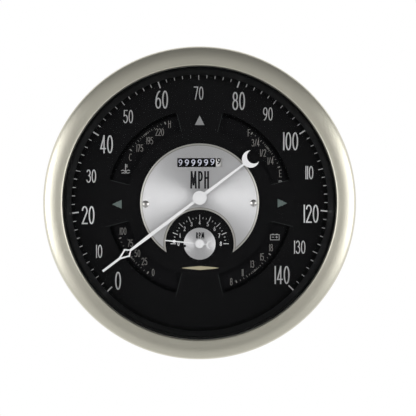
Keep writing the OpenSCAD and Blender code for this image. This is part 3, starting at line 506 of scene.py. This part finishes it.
def bezelProfile(b):
    # (radius, height) from the crimp's outer corner over the face to the lens, and back inside
    shoulder, face, lip = b["shoulderCentre"], b["faceCentre"], b["lipCentre"]
    outside = [(b["outer"], b["foot"])]
    outside += bend(shoulder, b["shoulderRadius"], 0, b["shoulderTurn"], b["shoulderSteps"])
    outside += bend(face, b["faceRadius"], b["shoulderTurn"], b["lipTurn"], b["faceSteps"])[1:]
    outside += bend(lip, b["lipRadius"], b["lipTurn"], 180, b["lipSteps"])[1:]
    outside.append((b["inner"], b["lipEnd"]))
    inside = [(b["inner"] + b["wall"], b["lipEnd"])]
    inside += bend(face, b["faceRadius"] - b["wall"], b["lipTurn"] - b["wallShort"], b["shoulderTurn"],
                   b["faceSteps"])
    inside += bend(shoulder, b["shoulderRadius"] - b["wall"], b["shoulderTurn"], 0, b["wallSteps"])[1:]
    inside.append((b["outer"] - b["wall"], b["flangeBack"]))
    inside += [(b["crimp"], b["flangeBack"]), (b["crimp"], b["foot"])]
    return outside + inside


def latheTree():
    # carries a closed profile round a circle, as a spinner's roller forms the ring
    tree, g, given = openTree("latheRing", {
        "Profile": ("NodeSocketGeometry", None), "Path Radius": ("NodeSocketFloat", 80.0),
        "Turns": ("NodeSocketInt", 360), "Material": ("NodeSocketMaterial", None)})
    circle = g.add("GeometryNodeCurvePrimitiveCircle", None,
                   {"Resolution": given["Turns"], "Radius": given["Path Radius"]})
    path = g.add("GeometryNodeSetCurveNormal", {"mode": "Z_UP"}, {0: circle})
    outline = g.add("GeometryNodeMeshToCurve", None, {0: given["Profile"]})
    shell = g.add("GeometryNodeCurveToMesh", None, {"Curve": path, "Profile Curve": outline})
    closeTree(g, shell, given["Material"])
    return tree


# on the path a profile's x points outwards and its y back into the panel
roller = [(r - bezel["path"], -z, 0) for r, z in reversed(bezelProfile(bezel))]
ring = grownPiece("spunBezel", latheTree(), {
    "Path Radius": bezel["path"], "Turns": bezel["turns"], "Material": finishes["satinSteel"]}, roller)
ring.data.shade_smooth()
ring.data.set_sharp_from_angle(angle=radians(bezel["sharp"]))
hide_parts("bezel")
print("bezel turned")


def bow(cx, cy, rx, ry, start, end, steps=16):
    spread = [radians(start + (end - start) * i / steps) for i in range(steps + 1)]
    return [(cx + rx * cos(a), cy + ry * sin(a)) for a in spread]


# letters are strokes in a box one wide and one high; a stroke that ends where it starts is closed
figures = {
    "0": [bow(0.5, 0.5, 0.5, 0.5, 0, 360, 32)],
    "1": [[(0.5, 0), (0.5, 1)]],
    "2": [bow(0.5, 0.76, 0.5, 0.24, 170, -22, 14) + [(0, 0), (1, 0)]],
    "3": [bow(0.46, 0.77, 0.44, 0.23, 155, -80, 14) + bow(0.46, 0.28, 0.54, 0.28, 78, -155, 16)],
    "4": [[(1, 0.24), (0, 0.24), (0.7, 1), (0.7, 0)]],
    "5": [[(0.95, 1), (0.14, 1), (0.06, 0.56)] + bow(0.44, 0.31, 0.56, 0.31, 118, -150, 18)],
    "6": [bow(0.5, 0.29, 0.5, 0.29, 0, 360, 24), bow(0.95, 0.29, 0.95, 0.71, 180, 100, 10)],
    "7": [[(0, 1), (1, 1), (0.32, 0)]],
    "8": [bow(0.5, 0.77, 0.42, 0.23, 0, 360, 24), bow(0.5, 0.27, 0.5, 0.27, 0, 360, 24)],
    "9": [bow(0.5, 0.71, 0.5, 0.29, 0, 360, 24), bow(0.05, 0.71, 0.95, 0.71, 0, -80, 10)],
    "M": [[(0, 0), (0.1, 1), (0.5, 0.2), (0.9, 1), (1, 0)]],
    "P": [[(0, 0), (0, 1)] + bow(0.4, 0.73, 0.6, 0.27, 90, -90, 14) + [(0, 0.46)]],
    "H": [[(0, 0), (0, 1)], [(1, 0), (1, 1)], [(0, 0.62), (1, 0.62)]],
    "R": [[(0, 0), (0, 1)] + bow(0.4, 0.76, 0.6, 0.24, 90, -90, 12) + [(0, 0.52)], [(0.4, 0.52), (1, 0)]],
    "C": [bow(0.7, 0.5, 0.7, 0.5, 60, 300, 18)],
    "E": [[(1, 1), (0, 1), (0, 0), (1, 0)], [(0, 0.54), (0.8, 0.54)]],
    "F": [[(1, 1), (0, 1), (0, 0)], [(0, 0.54), (0.8, 0.54)]],
    "/": [[(0, 0), (1, 1)]],
}
figureWidth = {"1": 0.0, "/": 0.75, "M": 1.35}
# lift is the ink's height off its face, and rise what each stroke adds to it so that crossing strokes
# share no plane; fold is the cosine of a turn sharp enough to be cut, mitre the least cosine at a
# corner, join how near a closed stroke's ends lie, and run the longest straight run
ink = {"lift": 0.012, "thickness": 0.02, "rise": 0.0006, "fold": -0.35, "mitre": 0.45, "join": 1e-6,
       "run": 50.0}


def written(style, words):
    # strokes and weight of each (text, middle), in one style
    height, width, weight, gap = (style[key] for key in ("height", "width", "weight", "gap"))
    jobs = []
    for text, (x, y) in words:
        spans = [max(width * figureWidth.get(c, 1.0), weight) for c in text]
        left = x - (sum(spans) + gap * (len(text) - 1)) / 2
        strokes = []
        for c, span in zip(text, spans):
            for stroke in figures[c]:
                strokes.append([(left + weight / 2 + across * (span - weight),
                                 y - height / 2 + weight / 2 + up * (height - weight))
                                for across, up in stroke])
            left += span + gap
        jobs.append((strokes, weight))
    return jobs


def unfolded(stroke):
    # a stroke that doubles back sharply is cut in two at the turn
    runs = [[stroke[0]]]
    for before, point, after in zip(stroke, stroke[1:], stroke[2:]):
        ax, ay = point[0] - before[0], point[1] - before[1]
        bx, by = after[0] - point[0], after[1] - point[1]
        runs[-1].append(point)
        if ax * bx + ay * by < ink["fold"] * hypot(ax, ay) * hypot(bx, by):
            runs.append([point])
    runs[-1].append(stroke[-1])
    return runs


def fine(stroke, longest):
    # long straight runs are split so that they can wrap round a drum
    points = [stroke[0]]
    for (ax, ay), (bx, by) in zip(stroke, stroke[1:]):
        steps = max(1, ceil(hypot(bx - ax, by - ay) / longest))
        points += [(ax + (bx - ax) * i / steps, ay + (by - ay) * i / steps) for i in range(1, steps + 1)]
    return points


def capped(line, reach):
    # square ends, half a stroke's weight past the last points
    def beyond(end, neighbour):
        dx, dy = end[0] - neighbour[0], end[1] - neighbour[1]
        return (end[0] + dx * reach / hypot(dx, dy), end[1] + dy * reach / hypot(dx, dy))
    return [beyond(line[0], line[1])] + line[1:-1] + [beyond(line[-1], line[-2])]


def edges(points, closed, weight):
    # the two edges of a stroke, mitred at its corners
    last = len(points) - 1
    sides = []
    for i, (x, y) in enumerate(points):
        before = points[i - 1] if i else (points[-1] if closed else None)
        after = points[i + 1] if i < last else (points[0] if closed else None)
        ways = []
        for (ax, ay), (bx, by) in [(p, q) for p, q in ((before, (x, y)), ((x, y), after)) if p and q]:
            length = hypot(bx - ax, by - ay)
            ways.append((-(by - ay) / length, (bx - ax) / length))
        nx, ny = sum(w[0] for w in ways), sum(w[1] for w in ways)
        size = hypot(nx, ny)
        nx, ny = nx / size, ny / size
        reach = weight / 2 / max(ink["mitre"], nx * ways[0][0] + ny * ways[0][1])
        sides.append(((x + nx * reach, y + ny * reach), (x - nx * reach, y - ny * reach)))
    return sides


def inkPiece(name, jobs, place, material, body="gauge", thickness=ink["thickness"], longest=ink["run"]):
    # jobs are (strokes, weight); place turns (x, y, lift) into a point of the frame
    points, faces = [], []
    lift = ink["lift"]
    for strokes, weight in jobs:
        for stroke in [run for whole in strokes for run in unfolded(whole)]:
            line = fine(stroke, longest)
            closed = hypot(line[0][0] - line[-1][0], line[0][1] - line[-1][1]) < ink["join"]
            line = line[:-1] if closed else capped(line, weight / 2)
            base = len(points)
            for leftEdge, rightEdge in edges(line, closed, weight):
                for (x, y), top in ((leftEdge, 1), (rightEdge, 1), (rightEdge, 0), (leftEdge, 0)):
                    points.append(place(x, y, lift + thickness * top))
            n = len(line)
            for i in range(n if closed else n - 1):
                a, b = base + 4 * i, base + 4 * ((i + 1) % n)
                faces += [(a + (k + 1) % 4, b + (k + 1) % 4, b + k, a + k) for k in range(4)]
            if not closed:
                end = base + 4 * (n - 1)
                faces += [(base + 3, base + 2, base + 1, base), (end, end + 1, end + 2, end + 3)]
            lift += ink["rise"]
    return meshPiece(name, points, faces, material, body)


def onDial(z):
    return lambda x, y, lift: dialPoint(x, y, z + lift)


dialFace, lowerFace, plateFace, revFace = -7.0, -11.2, -6.2, -6.4

speedNumerals = {
    "large": {"height": 10.3, "width": 3.35, "weight": 0.74, "gap": 0.55},
    "largeSpots": {"0": (-46.6, -44.5), "20": (-63.7, -7.0), "40": (-53.2, 33.5), "60": (-21.7, 59.0),
                   "80": (22.3, 58.2), "100": (52.0, 35.2), "120": (63.7, -6.2), "140": (47.1, -41.2)},
    "small": {"height": 7.5, "width": 2.5, "weight": 0.52, "gap": 0.45},
    "smallSpots": {"10": (-57.4, -27.7), "30": (-61.9, 15.3), "50": (-40.8, 49.3), "70": (-0.6, 62.7),
                   "90": (39.0, 50.8), "110": (62.7, 17.3), "130": (57.2, -25.3)},
}
speedJobs = [job for size in ("large", "small")
             for job in written(speedNumerals[size], speedNumerals[size + "Spots"].items())]
inkPiece("speedNumerals", speedJobs, onDial(dialFace), finishes["bareDial"])

revNumerals = {"ring": 12.1, "step": 22.5, "height": 2.5, "width": 1.1, "weight": 0.32, "gap": 0.2}
revAngles = [radians(180 - revNumerals["step"] * i) for i in range(9)]
revSpots = [(revPivot[0] + revNumerals["ring"] * cos(a), revPivot[1] + revNumerals["ring"] * sin(a))
            for a in revAngles]
inkPiece("revNumerals", written(revNumerals, zip("012345678", revSpots)), onDial(dialFace),
         finishes["bareRevDial"])

plateWords = {
    "speedWord": {"text": "MPH", "at": (0.0, 13.15), "face": plateFace,
                  "height": 10.0, "width": 2.75, "weight": 1.05, "gap": 0.75},
    "revWord": {"text": "RPM", "at": (0.3, -18.6), "face": revFace,
                "height": 3.5, "width": 1.2, "weight": 0.5, "gap": 0.35},
}
for name, word in plateWords.items():
    inkPiece(name, written(word, [(word["text"], word["at"])]), onDial(word["face"]), finishes["plateInk"])

windowFigures = {
    "height": 4.1, "width": 1.4, "weight": 0.26, "gap": 0.3,
    "spots": {
        "C": (-39.7, 26.1), "175": (-34.2, 31.3), "195": (-28.5, 35.6), "220": (-22.9, 40.5),
        "H": (-17.2, 44.9),
        "F": (28.3, 40.0), "3/4": (32.0, 34.4), "1/2": (36.3, 28.6), "1/4": (40.6, 24.0),
        "E": (46.2, 16.8),
        "100": (-43.8, -16.2), "75": (-39.7, -23.1), "50": (-35.6, -28.9), "25": (-31.6, -33.5),
        "0": (-26.6, -39.8),
        "18": (40.9, -25.6), "15": (35.7, -30.9), "13": (30.2, -35.0), "11": (24.6, -39.9),
        "8": (18.1, -45.1),
    },
}
signs = {
    "battery": {"at": (43.0, -19.6), "scale": 2.5, "weight": 0.36, "strokes": [
        [(-1, -0.62), (1, -0.62), (1, 0.55), (-1, 0.55), (-1, -0.62)], [(-0.62, 0.68), (-0.3, 0.68)],
        [(0.3, 0.68), (0.62, 0.68)], [(-0.6, 0), (-0.22, 0)], [(0.22, 0), (0.62, 0)],
        [(0.42, -0.2), (0.42, 0.2)]]},
    "thermometer": {"at": (-42.4, 19.6), "scale": 2.1, "weight": 0.42, "strokes": [
        [(0, -0.5), (0, 1.2)], [(0, 0.95), (0.42, 0.95)], [(0, 0.5), (0.42, 0.5)],
        bow(0, -0.72, 0.2, 0.2, 0, 360, 12), [(-1.1, -0.55), (-0.75, -0.4), (-0.4, -0.55)],
        [(0.4, -0.55), (0.75, -0.4), (1.1, -0.55)],
        [(-1.0, -1.25), (-0.6, -1.1), (-0.2, -1.25), (0.2, -1.1), (0.6, -1.25), (1.0, -1.1)]]},
    "pump": {"at": (46.1, 11.6), "scale": 1.2, "weight": 0.22, "strokes": [
        [(-0.6, -0.9), (-0.6, 0.9), (0.35, 0.9), (0.35, -0.9), (-0.6, -0.9)], [(-0.85, -0.9), (0.6, -0.9)],
        [(-0.4, 0.3), (0.15, 0.3)], [(0.35, -0.1), (0.7, -0.1), (0.7, 0.55), (0.5, 0.8)]]},
}


def signJob(at, scale, weight, strokes):
    return [[(at[0] + x * scale, at[1] + y * scale) for x, y in stroke] for stroke in strokes], weight


windowJobs = written(windowFigures, windowFigures["spots"].items())
inkPiece("windowFigures", windowJobs, onDial(lowerFace), finishes["windowInk"])
inkPiece("windowSigns", [signJob(**sign) for sign in signs.values()], onDial(lowerFace), finishes["signInk"])
print("lettering printed")


def tickTree():
    tree, g, given = openTree("tickScale", {
        "Count": ("NodeSocketInt", 11), "First Angle": ("NodeSocketFloat", 180.0),
        "Step": ("NodeSocketFloat", 5.0), "Centre": ("NodeSocketVector", (0, 0, 0)),
        "Pivot": ("NodeSocketVector", (0, 0, 0)),
        "Outer Radius": ("NodeSocketFloat", 50.0), "Long": ("NodeSocketFloat", 3.0),
        "Middle": ("NodeSocketFloat", 2.0), "Short": ("NodeSocketFloat", 1.0),
        "Long Width": ("NodeSocketFloat", 1.0), "Short Width": ("NodeSocketFloat", 0.5),
        "Long Every": ("NodeSocketInt", 10), "Middle Every": ("NodeSocketInt", 5),
        "Height": ("NodeSocketFloat", 0.0), "Thickness": ("NodeSocketFloat", 0.03),
        "Crowding": ("NodeSocketFloat", 0.0),  # 0 is an even scale, 1 opens it out at both ends
        "Material": ("NodeSocketMaterial", None),
    })
    index = g.add("GeometryNodeInputIndex")
    line = g.add("GeometryNodeMeshLine", None, {"Count": given["Count"]})
    share = index / (given["Count"] - 1)
    crowd = maths("SINE", share * (2 * pi)) * given["Crowding"] / (2 * pi) * (given["Count"] - 1)
    angle = maths("RADIANS", given["First Angle"] - (index + crowd) * given["Step"])
    wayX, wayY = maths("COSINE", angle), maths("SINE", angle)
    pivotX, pivotY = g.add("ShaderNodeSeparateXYZ", None, {0: given["Pivot"]}, ("X", "Y"))
    longTick = (index % given["Long Every"]) < 0.5
    middleTick = ((index % given["Middle Every"]) < 0.5) * (1 - longTick)
    length = (given["Short"] + (given["Long"] - given["Short"]) * longTick
              + (given["Middle"] - given["Short"]) * middleTick)
    width = given["Short Width"] + (given["Long Width"] - given["Short Width"]) * longTick
    # the ticks point at the spindle, and both their ends lie on rings about the scale's centre
    along = pivotX * wayX + pivotY * wayY
    rest = along * along - pivotX * pivotX - pivotY * pivotY
    outer = maths("SQRT", rest + given["Outer Radius"] * given["Outer Radius"]) - along
    innerRing = given["Outer Radius"] - length
    inner = maths("SQRT", rest + innerRing * innerRing) - along
    middle = (outer + inner) / 2
    fromCentre = g.add("ShaderNodeCombineXYZ", None, {
        "X": pivotX + wayX * middle, "Y": pivotY + wayY * middle, "Z": given["Height"]})
    spot = g.add("ShaderNodeVectorMath", {"operation": "ADD"}, {0: fromCentre, 1: given["Centre"]})
    points = g.add("GeometryNodeSetPosition", None, {"Geometry": line, "Position": spot})
    mark = g.add("GeometryNodeMeshCube", None, {"Size": (1, 1, 1)})
    turn = g.add("ShaderNodeCombineXYZ", None, {"Z": angle})
    scale = g.add("ShaderNodeCombineXYZ", None, {"X": outer - inner, "Y": width, "Z": given["Thickness"]})
    marks = g.add("GeometryNodeInstanceOnPoints", None,
                  {"Points": points, "Instance": mark, "Rotation": turn, "Scale": scale})
    closeTree(g, marks, given["Material"])
    return tree


speedScale = {"Count": 71, "First Angle": 225.42, "Step": 270.0 / 70, "Pivot": (*spinCentre, 0.0),
              "Outer Radius": 73.1, "Long": 3.8, "Middle": 2.7, "Short": 1.8, "Long Width": 0.72,
              "Short Width": 0.34, "Long Every": 10, "Middle Every": 5, "Height": dialFace + 0.015}
revScale = {"Count": 9, "First Angle": 180.0, "Step": 22.5, "Centre": (*revPivot, 0.0), "Outer Radius": 16.6,
            "Long": 3.0, "Long Width": 0.36, "Long Every": 1, "Height": dialFace + 0.018}
revDots = {"Count": 25, "First Angle": 180.0, "Step": 7.5, "Centre": (*revPivot, 0.0), "Outer Radius": 15.2,
           "Long": 0.9, "Middle": 0.9, "Short": 0.9, "Long Width": 0.29, "Short Width": 0.29,
           "Height": dialFace + 0.015}
windowScale = {"Count": 19, "Outer Radius": 50.4, "Long": 1.4, "Middle": 1.1, "Short": 0.85,
               "Long Width": 0.6, "Short Width": 0.2, "Long Every": 18, "Middle Every": 3, "Crowding": 0.75,
               "Height": lowerFace + 0.015}
windowSpans = {"tempTicks": (142.5, 113.4), "fuelTicks": (53.1, 24.3), "oilTicks": (233.4, 203.9),
               "voltTicks": (295.0, 323.8)}
ticks = tickTree()
grownPiece("speedTicks", ticks, {**speedScale, "Material": finishes["bareDial"]})
grownPiece("revTicks", ticks, {**revScale, "Material": finishes["bareRevDial"]})
grownPiece("revDots", ticks, {**revDots, "Material": finishes["bareRevDial"]})
for name, (first, last) in windowSpans.items():
    step = (first - last) / (windowScale["Count"] - 1)
    grownPiece(name, ticks, {**windowScale, "First Angle": first, "Step": step,
                             "Material": finishes["windowInk"]})
print("scales divided")


# turns is how far each shown figure stands above its row, in degrees
drum = {"count": 7, "radius": 8.1, "pitch": 3.65, "y": 23.0, "z": -16.6, "shown": 9, "step": 36,
        "turns": (0, 0, 0, 0, 0.6, 3.3, 6.0), "thickness": 0.015, "run": 0.5}
drumFigure = {"height": 3.7, "width": 2.3, "weight": 0.5, "gap": 0}
tenthsFigure = {**drumFigure, "weight": 0.65}


def onDrum(x, y, lift):
    # y runs round the drum, upwards from its front
    a = y / drum["radius"]
    r = drum["radius"] + lift
    return dialPoint(x, drum["y"] + r * sin(a), drum["z"] + r * cos(a))


for k in range(drum["count"]):
    tenths = k == drum["count"] - 1
    middle = (k - (drum["count"] - 1) / 2) * drum["pitch"]
    angles = [(drum["shown"] - figure) * drum["step"] + drum["turns"][k] for figure in range(10)]
    words = [(str(figure), (middle, radians(a) * drum["radius"])) for figure, a in enumerate(angles)]
    inkPiece(f"drumFigures{k + 1}", written(tenthsFigure if tenths else drumFigure, words), onDrum,
             finishes["plateInk" if tenths else "drumInk"], f"drum_{k + 1}", drum["thickness"], drum["run"])
print("drums figured")


# the cut ends of the windows get painted highlights, thin pale strips on the dial; at the lower two the
# glints run on past the corners
cutEnds = {"quarters": (45, 135, 225, 315), "half": 30.75, "inner": 42.0, "outer": 52.1, "lowerOuter": 55.1,
           "weight": 0.16}
glints = []
for quarter in cutEnds["quarters"]:
    for side in (-1, 1):
        a = radians(quarter + side * cutEnds["half"])
        outer = cutEnds["lowerOuter" if quarter > 180 else "outer"]
        glints.append([(r * cos(a), r * sin(a)) for r in (cutEnds["inner"], outer)])
inkPiece("paintedWindowGlints", [(glints, cutEnds["weight"])], onDial(dialFace), finishes["paintedEdgeGlint"])

# a plain slender lozenge under the rev counter
lozenge = {"centre": (0.4, -37.2), "half": 10.5, "thick": 1.1, "power": 0.7, "height": 0.04, "lift": 0.01,
           "points": 48}


def lozengePiece(name, spec, material):
    n = spec["points"]
    rim = []
    for i in range(n):
        a = 2 * pi * i / n
        x = cos(a)
        y = (1 - abs(x)) ** spec["power"] * (1 if sin(a) >= 0 else -1)
        rim.append((spec["centre"][0] + spec["half"] * x, spec["centre"][1] + spec["thick"] * y))
    foot = dialFace + spec["lift"]
    points = [dialPoint(x, y, z) for z in (foot + spec["height"], foot) for x, y in rim]
    faces = [tuple(range(n)), tuple(range(2 * n - 1, n - 1, -1))]
    faces += [(i, i + n, (i + 1) % n + n, (i + 1) % n) for i in range(n)]
    return meshPiece(name, points, faces, material)


lozengePiece("giltLozenge", lozenge, finishes["giltInk"])
print("fine lines drawn")


def seenDirectly(sheet):
    # 1 for rays from the camera, and for what metal and glass mirror
    camera, glossy, through = sheet.add("ShaderNodeLightPath", output=(
        "Is Camera Ray", "Is Glossy Ray", "Is Transmission Ray"))
    return maths("MAXIMUM", maths("MAXIMUM", camera, glossy), through)


room = {"light": 0.62, "shown": 1.0}


def paleWorld():
    world = bpy.data.worlds.new("paleRoom")
    world.use_nodes = True
    w = NodeSheet(world.node_tree)
    strength = room["light"] + seenDirectly(w) * (room["shown"] - room["light"])
    glow = w.add("ShaderNodeBackground", None, {"Color": (1, 1, 1), "Strength": strength})
    w.add("ShaderNodeOutputWorld", None, {"Surface": glow})
    bpy.context.scene.world = world


floorLook = {"height": -200.0, "radius": 1400.0, "points": 96, "tint": (0.80, 0.80, 0.79), "grain": 3.0,
             "grainShade": 0.97, "rough": 0.8, "specular": 0.1, "fade": (250.0, 1260.0)}


def floorFinish():
    f = Finish("paleFloor")
    p = floorLook
    paint = f.add("ShaderNodeBsdfPrincipled", None, {
        "Base Color": f.blend(f.grain(p["grain"], 2.0), p["tint"], shaded(p["tint"], p["grainShade"])),
        "Roughness": p["rough"], "Specular IOR Level": p["specular"]})
    white = f.add("ShaderNodeEmission", None, {"Color": (1, 1, 1), "Strength": room["shown"]})
    # the floor fades into the white room, and keeps the shadow under the gauge
    radius = maths("SQRT", f.x * f.x + f.y * f.y)
    fade = radius.ramp(*p["fade"]) * seenDirectly(f)
    mixed = f.add("ShaderNodeMixShader", None, {0: fade, 1: paint, 2: white})
    f.add("ShaderNodeOutputMaterial", None, {"Surface": mixed})
    return f.material


def floorPiece():
    n, r, z = floorLook["points"], floorLook["radius"] * mm, floorLook["height"] * mm
    rim = [Vector((r * cos(2 * pi * i / n), r * sin(2 * pi * i / n), z)) for i in range(n)]
    floor = meshPiece("floor", rim, [tuple(range(n))], floorFinish(), body=None)
    floor.visible_glossy = False


# a grey hood keeps the white room out of the metal: its tilts are degrees from the line of sight, its
# turns degrees round it, its radius in metres, and the rise and drop of its glow in millimetres. It is
# paler in an arch above the dark middle that the flat lens mirrors, and below
hood = {
    "radius": 2.6, "step": 7.5, "wholeTo": 15.0, "sides": (28.0, 152.0), "back": 105.0,
    "tints": ((0.05, 0.05, 0.05), (0.04, 0.04, 0.04)), "weave": 20.0, "rough": 0.9, "glow": 0.14,
    "archGlow": 0.385, "archSpan": (7.5, 29.0), "archSoft": (0.002, 0.01), "archRise": (-300.0, 300.0),
    "underGlow": 0.62, "underSoft": 0.03, "underDrop": (0.0, -300.0),
}


def hoodFinish():
    f = Finish("greyHood")
    h = hood
    front = f.y * mm / -h["radius"]  # the cosine of the tilt
    inner, outer = (cos(radians(a)) for a in h["archSpan"])
    innerSoft, outerSoft = h["archSoft"]
    arch = front.ramp(outer - outerSoft, outer + outerSoft) * front.ramp(inner + innerSoft, inner - innerSoft)
    arch = arch * f.z.ramp(*h["archRise"]) * h["archGlow"]
    under = front.ramp(outer + h["underSoft"], outer - h["underSoft"])
    under = under * f.z.ramp(*h["underDrop"]) * h["underGlow"]
    glow = maths("MAXIMUM", maths("MAXIMUM", arch, under), h["glow"])
    return f.surface({"Base Color": f.blend(f.grain(h["weave"], 2.0), *h["tints"]), "Roughness": h["rough"],
                      "Emission Color": f.blend(glow, (0, 0, 0), (1, 1, 1)), "Emission Strength": 1.0})


def hoodPiece():
    # it closes off the front, the top and the foot, and is open at both sides for the softboxes
    step, (low, high) = hood["step"], hood["sides"]
    points, faces, known = [], [], {}

    def corner(tilt, turn):
        key = (tilt, turn % 360)
        if key not in known:
            known[key] = len(points)
            a, b = radians(tilt), radians(turn)
            points.append(Vector((sin(a) * cos(b), -cos(a), sin(a) * sin(b))) * hood["radius"])
        return known[key]

    for i in range(int(hood["back"] / step)):
        for j in range(int(360 / step)):
            tilt, turn = i * step, j * step
            if tilt < hood["wholeTo"] or low < (turn + step / 2) % 180 < high:
                faces.append((corner(tilt, turn), corner(tilt + step, turn),
                              corner(tilt + step, turn + step), corner(tilt, turn + step)))
    shell = meshPiece("greyHood", points, faces, hoodFinish(), body=None)
    shell.visible_camera = False  # the camera stands outside it


# sizes and places in metres; glow is the brightness of a lamp's face, where 1 is white
lamps = {
    "softbox": {"glow": 2.8, "size": (0.9, 1.1), "mirrored": True,
                "at": ((-1.5, -1.15, 0.05), (1.5, -1.15, 0.05))},
    "fill": {"glow": 5.2, "size": (0.9, 0.9), "mirrored": False,
             "at": ((-1.05, -2.25, 0.25), (1.05, -2.25, 0.25))},
}


def lampPiece(name, glow, size, at, mirrored):
    light = bpy.data.lights.new(name, "AREA")
    light.shape = "RECTANGLE"
    light.size, light.size_y = size
    light.energy = glow * pi * light.size * light.size_y
    holder = bpy.data.objects.new(name, light)
    bpy.context.scene.collection.objects.link(holder)
    holder.location = at
    holder.rotation_euler = (-Vector(at)).to_track_quat("-Z", "Y").to_euler()
    holder.visible_camera = False
    holder.visible_glossy = mirrored


view = {"width": 236.8, "distance": 3000.0, "aim": (4.78, -2.93), "plane": 4.0, "sensor": 36.0,
        "clip": (0.1, 20.0)}  # clip in metres


def buildCamera():
    lens = bpy.data.cameras.new("camera")
    lens.sensor_width = view["sensor"]
    lens.lens = view["sensor"] * view["distance"] / view["width"]
    lens.clip_start, lens.clip_end = view["clip"]
    camera = bpy.data.objects.new("camera", lens)
    bpy.context.scene.collection.objects.link(camera)
    camera.location = dialPoint(*view["aim"], view["distance"] + view["plane"])
    camera.rotation_euler = (pi / 2, 0, 0)
    bpy.context.scene.camera = camera


paleWorld()
floorPiece()
hoodPiece()
for name, lamp in lamps.items():
    for i, at in enumerate(lamp["at"]):
        lampPiece(f"{name}{i}", lamp["glow"], lamp["size"], at, lamp["mirrored"])
buildCamera()
bpy.context.scene.view_settings.view_transform = "Standard"
print("stage lit")
